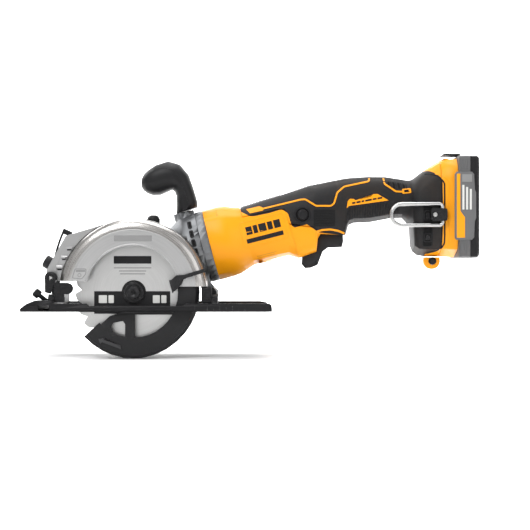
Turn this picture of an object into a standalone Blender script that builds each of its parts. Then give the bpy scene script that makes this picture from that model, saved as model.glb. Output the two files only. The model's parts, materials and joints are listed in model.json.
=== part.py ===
"""Compact cordless circular saw, built as separate nodes in one shared frame.

Lengths below are millimetres; the scene is in metres.  +X runs to the battery, -Y is the
blade side and +Z is up.  The origin lies on the shoe's underside, below the blade's axis,
in the middle plane of the motor.
"""
import math

import bmesh
import bpy
from mathutils import Matrix, Vector

MM = 0.001
GAP = 0.3

# ---- driving dimensions -----------------------------------------------------------------
TILT = 14.5                 # rise of the motor's axis, degrees
BLADE_R = 57.15
BLADE_T = 1.2
BLADE_TEETH = 24
ARBOR_Z = 18.4
BLADE_Y = -44.0
SHOE_FRONT = -108.0
SHOE_REAR = 134.0
SHOE_NEAR = -64.0
SHOE_FAR = 45.0
SHOE_PLATE = 3.2
SHOE_LIP = 8.0
MOTOR_X = 73.5              # centre of the housing's front face
MOTOR_Z = 64.7
MOTOR_R = 35.7
WALL = 2.5
OVERMOULD = 1.8
GUARD_R = 71.5
GUARD_WALL = 2.2
LOWER_R = 63.5
GUARD_OPENING = 45.0
GRIP_HALF = 17.6
FOOT_HALF = 30.0
BATTERY_HALF = 37.0
BATTERY_TOP = 152.3
BATTERY_BOTTOM = 51.9
BATTERY_DEPTH = 20.0
SPINDLE_R = 5.0
LAYSHAFT_R = 4.0
MOTOR_SHAFT_R = 3.0
SPUR_MODULE = 2.0
SPINDLE_TEETH = 13
LAYSHAFT_TEETH = 17
BEVEL_TEETH = 18
PINION_TEETH = 8
BEVEL_MODULE = 2.0
PIVOT_X = 72.8              # depth pivot
PIVOT_Z = 16.8
BEVEL_AXIS_Z = 11.5
BEVEL_AXIS_Y = -57.0
CLAMP_X = -79.0
CLAMP_Z = 32.5
DEPTH_RANGE = 15.0
HOOK_WIRE_R = 2.0
TRIGGER_HALF = 6.0

# ---- sizes that follow ------------------------------------------------------------------
COS = math.cos(math.radians(TILT))
SIN = math.sin(math.radians(TILT))
GUARD_NEAR = BLADE_Y - 14.0
GUARD_FAR = BLADE_Y + 15.7
COVER_Y = GUARD_FAR + GAP
CASE_Y = COVER_Y + 3.8
CENTRES = SPUR_MODULE * (SPINDLE_TEETH + LAYSHAFT_TEETH) / 2
BEVEL_R = BEVEL_MODULE * BEVEL_TEETH / 2
PINION_R = BEVEL_MODULE * PINION_TEETH / 2
SPINDLE_CASE_R = SPUR_MODULE * SPINDLE_TEETH / 2 + 0.8 * SPUR_MODULE + 0.7
LAYSHAFT_CASE_R = SPUR_MODULE * LAYSHAFT_TEETH / 2 + 0.8 * SPUR_MODULE + 0.7
FOOT_REAR = 316.3
BATTERY_FRONT = FOOT_REAR + GAP
STRIP_R = math.hypot(CLAMP_X - PIVOT_X, CLAMP_Z - PIVOT_Z)
CLAMP_ANGLE = math.degrees(math.atan2(CLAMP_Z - PIVOT_Z, PIVOT_X - CLAMP_X))


def motor(u, v):
    """World X and Z of a point given along and across the motor's axis."""
    return (MOTOR_X + u * COS - v * SIN, MOTOR_Z + u * SIN + v * COS)


def layshaft_place():
    """Layshaft centre: on the motor's axis, one gear centre distance from the arbor."""
    along = -(MOTOR_X * COS + (MOTOR_Z - ARBOR_Z) * SIN)
    off = -MOTOR_X * SIN + (MOTOR_Z - ARBOR_Z) * COS
    return along + math.sqrt(CENTRES ** 2 - off ** 2)


LAY_U = layshaft_place()
LAY_X, LAY_Z = motor(LAY_U, 0.0)


# ---- frames -----------------------------------------------------------------------------
class Frame:
    """Origin with two cross directions and an axis, all in world millimetres."""

    def __init__(self, origin, first, second, axis):
        self.origin = Vector(origin)
        self.first = Vector(first)
        self.second = Vector(second)
        self.axis = Vector(axis)

    def at(self, a, b, h):
        return self.origin + self.first * a + self.second * b + self.axis * h

    def polar(self, r, angle, h):
        turn = math.radians(angle)
        return self.at(r * math.cos(turn), r * math.sin(turn), h)


def along_y(x, z):
    """Cross directions X and Z, axis along Y."""
    return Frame((x, 0, z), (1, 0, 0), (0, 0, 1), (0, 1, 0))


def along_x(y, z):
    """Cross directions Y and Z, axis along X."""
    return Frame((0, y, z), (0, 1, 0), (0, 0, 1), (1, 0, 0))


def along_z(x, y):
    """Cross directions X and Y, axis along Z."""
    return Frame((x, y, 0), (1, 0, 0), (0, 1, 0), (0, 0, 1))


def along_motor():
    """Axis up the motor's shaft, first direction square to it, second along Y."""
    return Frame((MOTOR_X, 0, MOTOR_Z), (-SIN, 0, COS), (0, 1, 0), (COS, 0, SIN))


ARBOR = along_y(0.0, ARBOR_Z)
LAYSHAFT = along_y(LAY_X, LAY_Z)
MOTOR = along_motor()
SIDE = along_y(0.0, 0.0)
PIVOT = along_y(PIVOT_X, PIVOT_Z)


# ---- mesh kit ---------------------------------------------------------------------------
def finish_material(name, colour, metallic, roughness):
    material = bpy.data.materials.new(name + "_finish")
    material.use_nodes = True
    shader = material.node_tree.nodes["Principled BSDF"]
    shader.inputs["Base Color"].default_value = (*colour, 1.0)
    shader.inputs["Metallic"].default_value = metallic
    shader.inputs["Roughness"].default_value = roughness
    return material


YELLOW = ((0.98, 0.50, 0.015), 0.0, 0.4)
BLACK = ((0.025, 0.025, 0.027), 0.0, 0.55)
DARK = ((0.05, 0.05, 0.052), 0.0, 0.5)
CAST = ((0.30, 0.31, 0.32), 0.8, 0.45)
SILVER = ((0.50, 0.50, 0.50), 0.9, 0.35)
STEEL = ((0.55, 0.55, 0.54), 1.0, 0.3)
GREY = ((0.18, 0.18, 0.19), 0.0, 0.5)
ZINC = ((0.75, 0.75, 0.75), 1.0, 0.25)
COPPER = ((0.45, 0.16, 0.07), 1.0, 0.35)
BOARD = ((0.02, 0.10, 0.05), 0.0, 0.5)


def solid(name, rings, finish, origin=(0, 0, 0), loop=False, smooth=False):
    """Skin a list of equal rings, closed by caps or, for a loop, back to the first ring."""
    mesh = bpy.data.meshes.new(name)
    work = bmesh.new()
    base = Vector(origin)
    levels = []
    for ring in rings:
        levels.append([work.verts.new((Vector(p) - base) * MM) for p in ring])
    count = len(levels[0])
    pairs = list(zip(levels, levels[1:]))
    if loop:
        pairs.append((levels[-1], levels[0]))
    for low, high in pairs:
        for i in range(count):
            j = (i + 1) % count
            work.faces.new((low[i], low[j], high[j], high[i]))
    if not loop:
        work.faces.new(list(reversed(levels[0])))
        work.faces.new(levels[-1])
    bmesh.ops.remove_doubles(work, verts=work.verts, dist=1e-6)
    bmesh.ops.triangulate(work, faces=work.faces, quad_method="FIXED", ngon_method="EAR_CLIP")
    bmesh.ops.recalc_face_normals(work, faces=work.faces)
    if work.calc_volume(signed=True) < 0:
        bmesh.ops.reverse_faces(work, faces=work.faces)
    for face in work.faces:
        face.smooth = smooth
    work.to_mesh(mesh)
    work.free()
    item = bpy.data.objects.new(name, mesh)
    item.location = base * MM
    bpy.context.scene.collection.objects.link(item)
    if finish is not None:
        mesh.materials.append(finish_material(name, *finish))
    return item


def prism(name, frame, outline, low, high, finish, origin=(0, 0, 0), smooth=False):
    rings = [[frame.at(a, b, h) for a, b in outline] for h in (low, high)]
    return solid(name, rings, finish, origin, smooth=smooth)


def turned(name, frame, profile, segments, finish, origin=(0, 0, 0), loop=False):
    """Revolve (radius, height) points; ends on the axis close themselves."""
    rings = []
    for r, h in profile:
        ring = [frame.polar(max(r, 0.0), 360.0 * i / segments, h) for i in range(segments)]
        rings.append(ring)
    if not loop and profile[0][0] == 0.0:
        rings = rings[1:]
    if not loop and profile[-1][0] == 0.0:
        rings = rings[:-1]
    return solid(name, rings, finish, origin, loop=loop, smooth=True)


def sector(name, frame, profile, start, end, segments, finish, origin=(0, 0, 0)):
    """Sweep a closed (radius, height) profile between two angles, each a function of r."""
    rings = []
    for i in range(segments + 1):
        share = i / segments
        ring = []
        for r, h in profile:
            angle = start(r) + (end(r) - start(r)) * share
            ring.append(frame.polar(r, angle, h))
        rings.append(ring)
    return solid(name, rings, finish, origin, smooth=True)


def box(name, low, high, finish, origin=(0, 0, 0)):
    x0, y0, z0 = low
    x1, y1, z1 = high
    outline = [(x0, y0), (x1, y0), (x1, y1), (x0, y1)]
    return prism(name, along_z(0, 0), outline, z0, z1, finish, origin)


def ring_profile(inner, outer, low, high):
    return [(inner, low), (outer, low), (outer, high), (inner, high)]


def tool(item):
    item.hide_render = True
    item.display_type = "WIRE"
    return item


def boolean(item, other, operation):
    step = item.modifiers.new(operation.lower() + "_" + other.name, "BOOLEAN")
    step.operation = operation
    step.object = tool(other)
    step.solver = "EXACT"
    return item


def join(item, other):
    return boolean(item, other, "UNION")


def cut(item, other):
    return boolean(item, other, "DIFFERENCE")


def circle(x, z, r, count=16, start=0.0, end=360.0):
    full = abs(end - start) >= 360.0
    steps = count if full else count - 1
    points = []
    for i in range(count):
        turn = math.radians(start + (end - start) * i / steps)
        points.append((x + r * math.cos(turn), z + r * math.sin(turn)))
    return points


def hull(points):
    """Convex outline round a set of points, counter-clockwise."""
    ordered = sorted(set(points))

    def half(run):
        out = []
        for p in run:
            while len(out) > 1 and turn_of(out[-2], out[-1], p) <= 0:
                out.pop()
            out.append(p)
        return out[:-1]

    return half(ordered) + half(ordered[::-1])


def turn_of(a, b, c):
    return (b[0] - a[0]) * (c[1] - a[1]) - (b[1] - a[1]) * (c[0] - a[0])


def two_circles(near, far, count=16):
    return hull(circle(0.0, ARBOR_Z, near, count) + circle(LAY_X, LAY_Z, far, count))


def rounded(cx, cy, hx, hy, r, steps=3):
    points = []
    for k, (sx, sy) in enumerate(((1, 1), (-1, 1), (-1, -1), (1, -1))):
        points += circle(cx + sx * (hx - r), cy + sy * (hy - r), r, steps, 90.0 * k, 90.0 * k + 90.0)
    return points


# ---- housing ----------------------------------------------------------------------------
class Station:
    """One cross-section of the housing: top and bottom points, half width and squareness.

    over gives the overmould's two edges as shares of the half height, from +1 at the top
    to -1 at the bottom, or None where there's no overmould.  slot is half the opening at
    the bottom, for the trigger.  cover gives the overmould's own edges where they differ.
    """

    def __init__(self, top, bottom, half, power, over=None, slot=GAP / 2, cover=None):
        self.top = top
        self.bottom = bottom
        self.half = half
        self.power = power
        self.over = over
        self.slot = slot
        self.cover = cover

    def share(self, f):
        """Position from 0 at the top to 1 at the bottom of a share of the half height."""
        f = max(-1.0, min(1.0, f))
        size = math.copysign(abs(f) ** (self.power / 2), f)
        return (90.0 - math.degrees(math.asin(size))) / 180.0

    def point(self, t, depth, side):
        turn = math.radians(90.0 - 180.0 * t)
        mid_x = (self.top[0] + self.bottom[0]) / 2
        mid_z = (self.top[1] + self.bottom[1]) / 2
        dx = (self.top[0] - self.bottom[0]) / 2
        dz = (self.top[1] - self.bottom[1]) / 2
        tall = math.hypot(dx, dz)
        up = math.copysign(abs(math.sin(turn)) ** (2 / self.power), math.sin(turn))
        up *= tall - depth
        edge = GAP / 2 if t < 0.5 else self.slot
        reach = self.half - depth - edge
        out = edge + reach * max(0.0, math.cos(turn)) ** (2 / self.power)
        return (mid_x + dx / tall * up, side * out, mid_z + dz / tall * up)

    def shifted(self, dx, **changes):
        copy = Station(self.top, self.bottom, self.half, self.power, self.over, self.slot, self.cover)
        copy.top = (self.top[0] + dx, self.top[1])
        copy.bottom = (self.bottom[0] + dx, self.bottom[1])
        for key, value in changes.items():
            setattr(copy, key, value)
        return copy


def motor_station(u, up, down, half, power, over=None):
    return Station(motor(u, up), motor(u, -down), half, power, over)


def grip_stations():
    """Sections from the motor's front face to the battery, front to back."""
    wide = TRIGGER_HALF + 1.0
    r = MOTOR_R
    front = [
        motor_station(0.0, r, r, r, 2.0),
        motor_station(15.0, r, r - 0.2, r - 0.2, 2.0),
        motor_station(22.0, r - 1.0, r - 0.9, r - 1.4, 2.0),
        motor_station(30.0, 31.5, 32.0, 31.0, 2.1),
        motor_station(36.6, 29.8, 29.8, 28.0, 2.2),
        motor_station(37.0, 29.7, 29.7, 27.9, 2.2, (1.0, 0.62)),
        motor_station(44.0, 29.9, 29.4, 26.0, 2.3, (1.0, 0.60)),
        motor_station(60.0, 30.8, 28.7, 23.5, 2.5, (1.0, 0.55)),
        Station(motor(72.0, 31.2), (151.6, 54.7), 22.0, 2.6, (1.0, 0.54)),
    ]
    tip = Station(motor(79.0, 31.5), (160.5, 51.9), 21.0, 2.6, (1.0, 0.50))
    rear = Station((197.0, 129.8), (206.6, 74.8), 19.0, 2.6, (1.0, -0.97), wide)
    trigger = [
        tip,
        tip.shifted(1.0, over=(1.0, 0.02), slot=wide),
        Station((170.7, 124.2), (178.5, 58.3), 20.0, 2.6, (1.0, -0.30), wide),
        Station((172.5, 124.7), (180.0, 71.5), 20.0, 2.6, (1.0, -0.71), wide),
        Station((175.5, 125.3), (182.6, 75.8), 19.8, 2.6, (1.0, -0.93), wide),
        rear,
        rear.shifted(0.2, over=(1.0, -1.0), cover=(1.0, -0.97)),
        rear.shifted(0.9, over=(1.0, -1.0)),
        Station((200.5, 130.5), (209.2, 79.0), GRIP_HALF + 1.2, 2.6, (1.0, -1.0)),
        Station((205.0, 131.3), (211.0, 85.0), GRIP_HALF + 0.6, 2.6, (1.0, -1.0)),
    ]
    grip = [
        Station((212.0, 132.2), (216.0, 87.1), GRIP_HALF + 0.2, 2.6, (1.0, -1.0)),
        Station((230.0, 133.4), (232.0, 87.8), GRIP_HALF, 2.6, (1.0, -1.0)),
        Station((247.6, 133.2), (251.4, 91.5), GRIP_HALF, 2.6, (1.0, -1.0)),
        Station((260.0, 131.4), (264.0, 92.0), GRIP_HALF + 0.6, 2.6, (1.0, -1.0)),
        Station((269.0, 129.8), (269.6, 86.0), 20.5, 2.7, (1.0, -1.0)),
        Station((273.0, 130.0), (273.0, 80.0), 24.0, 2.9, (1.0, -1.0)),
    ]
    foot = [
        Station((275.0, 131.0), (274.6, 58.4), FOOT_HALF - 1.5, 3.3, (1.0, -1.0)),
        Station((282.0, 136.4), (279.0, 54.8), FOOT_HALF, 3.5, (1.0, -1.0)),
        Station((289.9, 141.9), (287.0, 53.5), FOOT_HALF, 3.5, (1.0, -1.0)),
        Station((300.5, 148.4), (300.5, 53.3), FOOT_HALF, 3.5, (1.0, -1.0)),
        Station((301.2, 148.8), (301.2, 53.3), FOOT_HALF, 3.5),
        Station((306.5, 151.6), (306.5, 53.3), FOOT_HALF, 3.5),
        Station((FOOT_REAR, 151.9), (FOOT_REAR, 52.6), BATTERY_HALF - 2.0, 3.6),
    ]
    return front + trigger + grip + foot


HOUSING = grip_stations()
ARC_A = 3
ARC_B = 8
ARC_C = 5
ARC_IN = 7
FULL_EDGE = -0.97           # share of the half height where a full cover's last facet begins
TRIM = 0.012                # what the overmould's edge stands back, as a share of the half turn


def spread(low, high, count):
    return [low + (high - low) * i / (count - 1) for i in range(count)]


def edge_spread(station, first, last):
    """Samples along the recess; one that reaches the bottom keeps its neighbours' places."""
    settled = station.share(FULL_EDGE) if last >= 1.0 else last
    return spread(first, settled, ARC_B)[:-1] + [last]


def housing_ring(station, side, over):
    """Closed outline of one half's wall at a station, recessed under the overmould."""
    depth = OVERMOULD if over else 0.0
    edges = station.over or over_near(station)
    first = station.share(edges[0])
    last = station.share(edges[1])
    top_depth = depth if first <= 0.0 else 0.0
    low_depth = depth if last >= 1.0 else 0.0
    ring = [station.point(t, top_depth, side) for t in spread(0.0, first, ARC_A)]
    ring += [station.point(t, depth, side) for t in edge_spread(station, first, last)]
    ring += [station.point(t, low_depth, side) for t in spread(last, 1.0, ARC_C)]
    inside = WALL + depth
    ring += [station.point(t, inside, side) for t in spread(1.0, 0.0, ARC_IN)]
    return ring


def over_near(station):
    """Edges to sample with on a station that carries no overmould."""
    if station.bottom[0] > FOOT_REAR - 20.0:
        return (1.0, -1.0)
    return (1.0, 0.62)


def housing_half(name, side):
    rings = [housing_ring(s, side, s.over is not None) for s in HOUSING]
    return solid(name, rings, YELLOW, smooth=True)


def overmould_half(name, side):
    """Soft cover lying in the housing's recess, one gap clear of it all round."""
    runs = [s for s in HOUSING if s.over is not None]
    runs[0] = runs[0].shifted(GAP)
    runs[-1] = runs[-1].shifted(-GAP)
    rings = []
    inset = OVERMOULD - GAP
    for s in runs:
        edges = s.cover or s.over
        first = s.share(edges[0])
        last = s.share(edges[1])
        first = first + TRIM if first > 0.0 else 0.0
        last = last - TRIM if last < 1.0 else 1.0
        places = edge_spread(s, first, last)
        ring = [s.point(t, inset, side) for t in places]
        ring += [s.point(t, 0.0, side) for t in reversed(places)]
        rings.append(ring)
    return solid(name, rings, BLACK, smooth=True)


SCREW_PLACES = (
    ("grip", 240.0, 111.0, 17.5),
    ("foot", 289.0, 76.0, 28.6),
)


def housing():
    """Both halves with their screw bosses, the overmould, and the cross-bolt's hole."""
    left = housing_half("housing_left", -1)
    right = housing_half("housing_right", 1)
    soft_left = overmould_half("grip_left", -1)
    soft_right = overmould_half("grip_right", 1)
    for name, x, z, reach in SCREW_PLACES:
        here = along_y(x, z)
        root = reach - 3.4
        pilot = [(0, -root), (3.6, -root), (3.6, -GAP / 2), (1.5, -GAP / 2), (1.5, -10.2), (0, -10.2)]
        join(left, turned("boss_left_" + name, here, pilot, 10, None))
        sleeve = ring_profile(1.6, 5.0, GAP / 2, root)
        join(right, turned("boss_right_" + name, here, sleeve, 10, None, loop=True))
        sink = turned("sink_" + name, here, [(0, reach - 6), (3.5, reach - 6), (3.5, 45), (0, 45)], 10, None)
        cut(right, sink)
        cut(soft_right, sink)
        screw(name, here, reach)
    lock = along_y(164.3, 94.5)
    hole = turned("lock_hole", lock, [(0, -40), (5.9, -40), (5.9, 40), (0, 40)], 16, None)
    for item in (left, right, soft_left, soft_right):
        cut(item, hole)
    way = box("battery_way", (309.6, -18.8, 120.0), (330.0, 18.8, 170.0), None)
    cut(left, way)
    cut(right, way)


def screw(name, frame, reach):
    head = reach - 5.7
    profile = [(0, -8.0), (1.3, -8.0), (1.3, head), (3.1, head), (3.1, head + 2.6), (0, head + 2.6)]
    turned("housing_screw_" + name, frame, profile, 10, STEEL)


# ---- motor ------------------------------------------------------------------------------
def motor_parts():
    spigot = MOTOR_R - 4.0
    bore = MOTOR_R - 6.2
    ring = [(bore, -7.8), (MOTOR_R, -7.8), (MOTOR_R, -GAP), (spigot, -GAP), (spigot, 2.5), (bore, 2.5)]
    turned("motor_ring", MOTOR, ring, 32, CAST, loop=True)
    shaft = [(0, -58.0), (MOTOR_SHAFT_R, -58.0), (MOTOR_SHAFT_R, 36.0), (0, 36.0)]
    origin = (MOTOR_X, 0, MOTOR_Z)
    rotor = turned("rotor_shaft", MOTOR, shaft, 14, STEEL, origin)
    apex = Frame((LAY_X, 0, LAY_Z), MOTOR.first, MOTOR.second, MOTOR.axis)
    phase = 270.0 + 180.0 / PINION_TEETH
    pinion = bevel_ring(
        "bevel_pinion", apex, 1, PINION_TEETH, PINION_R, BEVEL_R, MOTOR_SHAFT_R - 1.2,
        BEVEL_R + 3.0, phase, origin,
    )
    join(rotor, pinion)
    turned("rotor_core", MOTOR, ring_profile(MOTOR_SHAFT_R + GAP, 12.8, 5, 25), 24, STEEL, origin, True)
    fan(origin)
    stator()
    turned("end_bell", MOTOR, ring_profile(9.4, 25.0, 31.0, 35.9), 28, BLACK, loop=True)
    turned("motor_bearing_rear", MOTOR, ring_profile(3.3, 9.1, 31.2, 35.7), 20, STEEL, loop=True)
    turned("motor_bearing_front", MOTOR, ring_profile(3.3, 9.0, -34.0, -28.0), 20, STEEL, loop=True)


def toothed(teeth, root, tip, fraction=0.5, tip_fraction=0.5):
    """Polar outline (radius, angle) of a ring of blocks, four points to each."""
    pitch = 360.0 / teeth
    points = []
    for k in range(teeth):
        mid = k * pitch
        for r, half in ((root, -fraction), (tip, -tip_fraction), (tip, tip_fraction), (root, fraction)):
            points.append((r, mid + half * pitch / 2))
    return points


def pointed(teeth, root, tip, tip_fraction):
    """Polar outline of gear teeth that share one root point between neighbours."""
    pitch = 360.0 / teeth
    points = []
    for k in range(teeth):
        mid = k * pitch
        for r, half in ((root, -1.0), (tip, -tip_fraction), (tip, tip_fraction)):
            points.append((r, mid + half * pitch / 2))
    return points


def fan(origin):
    outer = toothed(9, 12.0, 27.0, 0.30, 0.10)
    rings = []
    for h in (-16.0, -9.5):
        rings.append([MOTOR.polar(r, a, h) for r, a in outer])
    for h in (-9.5, -16.0):
        rings.append([MOTOR.polar(MOTOR_SHAFT_R + GAP, a, h) for _, a in outer])
    solid("fan", rings, BLACK, origin, loop=True)


def stator():
    inner = toothed(6, 23.0, 14.8, 0.35, 0.7)
    rings = []
    for h in (5.0, 25.0):
        rings.append([MOTOR.polar(MOTOR_R - 7.1, a, h) for _, a in inner])
    for h in (25.0, 5.0):
        rings.append([MOTOR.polar(r, a, h) for r, a in inner])
    solid("stator", rings, COPPER, loop=True)


def control():
    module = [(44.0, -13.0), (68.0, -13.0), (68.0, 14.0), (44.0, 14.0)]
    tilted = Frame((MOTOR_X, 0, MOTOR_Z), (COS, 0, SIN), (-SIN, 0, COS), (0, 1, 0))
    prism("control_module", tilted, module, -12.0, 12.0, BOARD)
    box("switch_module", (176.0, -8.5, 88.0), (202.0, 8.5, 112.0), BLACK)
    channel = [
        (303.0, -21.0), (303.0, 21.0), (FOOT_REAR, 21.0), (FOOT_REAR, 14.4), (313.3, 14.4),
        (313.3, 18.4), (310.0, 18.4), (310.0, -18.4), (313.3, -18.4), (313.3, -14.4),
        (FOOT_REAR, -14.4), (FOOT_REAR, -21.0),
    ]
    prism("terminal_block", along_z(0, 0), channel, 66.0, 134.0, BLACK)


# ---- gears ------------------------------------------------------------------------------
def spur_gear(name, frame, teeth, bore, phase, low, high, origin):
    pitch_r = SPUR_MODULE * teeth / 2
    root = pitch_r - 1.15 * SPUR_MODULE
    tip = pitch_r + 0.8 * SPUR_MODULE
    outline = pointed(teeth, root, tip, 0.10)
    rings = []
    for h in (low, high):
        rings.append([frame.polar(r, a + phase, h) for r, a in outline])
    for h in (high, low):
        rings.append([frame.polar(bore, a + phase, h) for _, a in outline])
    return solid(name, rings, STEEL, origin, loop=True)


def bevel_ring(name, frame, sign, teeth, radius, mate, bore, back, phase, origin):
    """Bevel gear about frame.axis, its apex at the frame's origin."""
    cone = math.hypot(radius, mate)
    small = (cone - 6.0) / cone
    rise = (mate / cone, radius / cone)
    tip = (radius + 0.8 * BEVEL_MODULE * rise[0], mate - 0.8 * BEVEL_MODULE * rise[1])
    root = (radius - 1.15 * BEVEL_MODULE * rise[0], mate + 1.15 * BEVEL_MODULE * rise[1])
    order = pointed(teeth, 0.0, 1.0, 0.10)
    large = []
    for flag, angle in order:
        r, h = tip if flag > 0.5 else root
        large.append((r, angle + phase, h))
    rings = []
    rings.append([frame.polar(bore, a, sign * back) for _, a, _ in large])
    rings.append([frame.polar(root[0], a, sign * back) for _, a, _ in large])
    rings.append([frame.polar(r, a, sign * h) for r, a, h in large])
    rings.append([frame.polar(r * small, a, sign * h * small) for r, a, h in large])
    rings.append([frame.polar(bore, a, sign * root[1] * small) for _, a, _ in large])
    return solid(name, rings, STEEL, origin, loop=True)


def gear_train():
    spindle_origin = (0, 0, ARBOR_Z)
    lay_origin = (LAY_X, 0, LAY_Z)
    towards = math.degrees(math.atan2(LAY_Z - ARBOR_Z, LAY_X))
    spindle_phase = towards + 180.0 / SPINDLE_TEETH
    spur_gear("spindle_gear", ARBOR, SPINDLE_TEETH, SPINDLE_R + GAP, spindle_phase, -21, -14, spindle_origin)
    shaft = turned("layshaft", LAYSHAFT, [(0, -26), (4, -26), (4, 13), (0, 13)], 16, STEEL, lay_origin)
    inside = LAYSHAFT_R - 1.5
    facing = towards + 180.0
    join(shaft, spur_gear("layshaft_gear", LAYSHAFT, LAYSHAFT_TEETH, inside, facing, -21, -14, lay_origin))
    back = PINION_R + 4.0
    bevel_ring(
        "bevel_gear", LAYSHAFT, -1, BEVEL_TEETH, BEVEL_R, PINION_R, LAYSHAFT_R + GAP, back,
        TILT, lay_origin,
    )
    nose = BLADE_Y - 1.6
    spindle = [
        (0, -9.2), (4, -9.2), (4, -13.7), (SPINDLE_R, -13.7), (SPINDLE_R, nose), (3.1, nose),
        (3.1, -30), (0, -30),
    ]
    turned("spindle", ARBOR, spindle, 20, STEEL, spindle_origin)
    race = ring_profile(SPINDLE_R + GAP, 11.0, -31.2, -26.0)
    turned("spindle_bearing_near", ARBOR, race, 22, STEEL, loop=True)
    turned("spindle_bearing_far", ARBOR, ring_profile(4.3, 9.0, -13.4, -9.3), 20, STEEL, loop=True)
    turned("layshaft_bearing_near", LAYSHAFT, ring_profile(4.3, 8.0, -26.0, -22.2), 18, STEEL, loop=True)
    turned("layshaft_bearing_far", LAYSHAFT, ring_profile(4.3, 8.0, 9.0, 13.0), 18, STEEL, loop=True)


# ---- gear case --------------------------------------------------------------------------
def gear_case():
    outline = two_circles(SPINDLE_CASE_R + 2.1, LAYSHAFT_CASE_R + 2.9)
    case = prism("gear_case", SIDE, outline, CASE_Y, -11.6, CAST)
    wide = LAYSHAFT_CASE_R + 2.7
    drum = [(0, -20), (wide, -20), (wide, 12.5), (wide - 2.5, 15), (0, 15)]
    join(case, turned("case_drum", LAYSHAFT, drum, 22, None))
    neck = [
        (0, -58), (19, -58), (21, -48), (27, -36), (34.4, -24), (35.2, -20), (35.2, -8.1), (0, -8.1),
    ]
    join(case, turned("case_neck", MOTOR, neck, 28, None))
    foot_x, foot_z = motor(-18.9, 0)
    mast = Frame((foot_x, 0, foot_z), (COS, 0, SIN), (0, 1, 0), (-SIN, 0, COS))
    join(case, turned("case_mast", mast, [(0, 31.5), (10.5, 31.5), (10.5, 38.7), (0, 38.7)], 20, None))
    lug = [
        (79.3, PIVOT_Z), (78.0, 22.0), (73.6, 27.4), (71.0, 35.0), (60.0, 35.0), (63.0, 25.0),
        (66.3, PIVOT_Z), *circle(PIVOT_X, PIVOT_Z, 6.5, 7, 200.0, 340.0),
    ]
    join(case, prism("case_lug", SIDE, lug, -20.0, -10.0, None))
    lock = along_z(16.0, -8.0)
    join(case, turned("case_lock_boss", lock, [(0, 60), (6.5, 60), (6.5, 77), (0, 77)], 16, None))
    join(case, turned("case_spindle_boss", ARBOR, [(0, -13), (11.6, -13), (11.6, -7), (0, -7)], 20, None))
    spur_room = two_circles(SPINDLE_CASE_R, LAYSHAFT_CASE_R)
    cut(case, prism("room_spur", SIDE, spur_room, CASE_Y - 2.0, -13.8, None))
    cut(case, turned("room_bevel", LAYSHAFT, [(0, -12.2), (20.2, -12.2), (20.2, 8.6), (0, 8.6)], 22, None))
    cut(case, turned("room_layshaft", LAYSHAFT, [(0, -15), (6.4, -15), (6.4, -11), (0, -11)], 14, None))
    cut(case, turned("room_far_bearing", LAYSHAFT, [(0, 8), (8.3, 8), (8.3, 13.3), (0, 13.3)], 18, None))
    shaft_room = [
        (0, -64), (10.8, -64), (10.8, -35.6), (5, -35.6), (5, -34.3), (9.3, -34.3), (9.3, -24),
        (24, -21.5), (30.5, -19), (30.5, -6), (0, -6),
    ]
    cut(case, turned("room_motor", MOTOR, shaft_room, 22, None))
    relief = [(0, GUARD_NEAR - 4), (GUARD_R + 0.6, GUARD_NEAR - 4), (GUARD_R + 0.6, COVER_Y), (0, COVER_Y)]
    cut(case, turned("room_guard", ARBOR, relief, 32, None))
    cut(case, turned("room_spindle_bearing", ARBOR, [(0, -15), (9.3, -15), (9.3, -8.8), (0, -8.8)], 20, None))
    cut(case, turned("room_pin", PIVOT, [(0, -25), (3.3, -25), (3.3, -5), (0, -5)], 14, None))
    cut(case, turned("room_lock_stem", lock, [(0, 62), (3.4, 62), (3.4, 80), (0, 80)], 12, None))
    cut(case, turned("room_stud", mast, [(0, 28), (4.3, 28), (4.3, 40), (0, 40)], 14, None))
    stud = [(0, 31.5), (4.0, 31.5), (4.0, 52.0), (0, 52.0)]
    turned("handle_stud", mast, stud, 14, STEEL)
    return mast


def gear_cover():
    outline = two_circles(SPINDLE_CASE_R + 2.0, LAYSHAFT_CASE_R + 2.8)
    cover = prism("gear_cover", SIDE, outline, COVER_Y, CASE_Y - GAP, CAST)
    boss = [(0, -36), (14.2, -36), (14.5, -35.7), (14.5, -26), (0, -26)]
    join(cover, turned("cover_boss", ARBOR, boss, 28, None))
    join(cover, turned("cover_seat", LAYSHAFT, [(0, -26), (11, -26), (11, -22), (0, -22)], 20, None))
    cut(cover, turned("cover_bearing_room", ARBOR, [(0, -31.5), (11.3, -31.5), (11.3, -23), (0, -23)], 22, None))
    cut(cover, turned("cover_shaft_room", ARBOR, [(0, -40), (6.6, -40), (6.6, -30), (0, -30)], 18, None))
    cut(cover, turned("cover_lay_room", LAYSHAFT, [(0, -26.4), (8.3, -26.4), (8.3, -20), (0, -20)], 18, None))


# ---- guards and blade -------------------------------------------------------------------
def upper_guard():
    near = GUARD_NEAR
    far = GUARD_FAR
    inner = GUARD_R - GUARD_WALL
    profile = [
        (16, far), (GUARD_R, far), (GUARD_R, near + 8), (GUARD_R - 1.3, near + 4),
        (GUARD_R - 5, near + 1), (GUARD_R - 10.5, near), (GUARD_OPENING, near),
        (GUARD_OPENING, near + GUARD_WALL), (GUARD_R - 11, near + GUARD_WALL),
        (GUARD_R - 5.7, near + 3.6), (inner, near + 8.5), (inner, far - GUARD_WALL), (16, far - GUARD_WALL),
    ]
    right = 24.2 - ARBOR_Z
    left = 29.4 - ARBOR_Z

    def start(r):
        return math.degrees(math.asin(right / r))

    def end(r):
        return 180.0 - math.degrees(math.asin(left / r))

    sector("upper_guard", ARBOR, profile, start, end, 22, SILVER)


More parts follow.
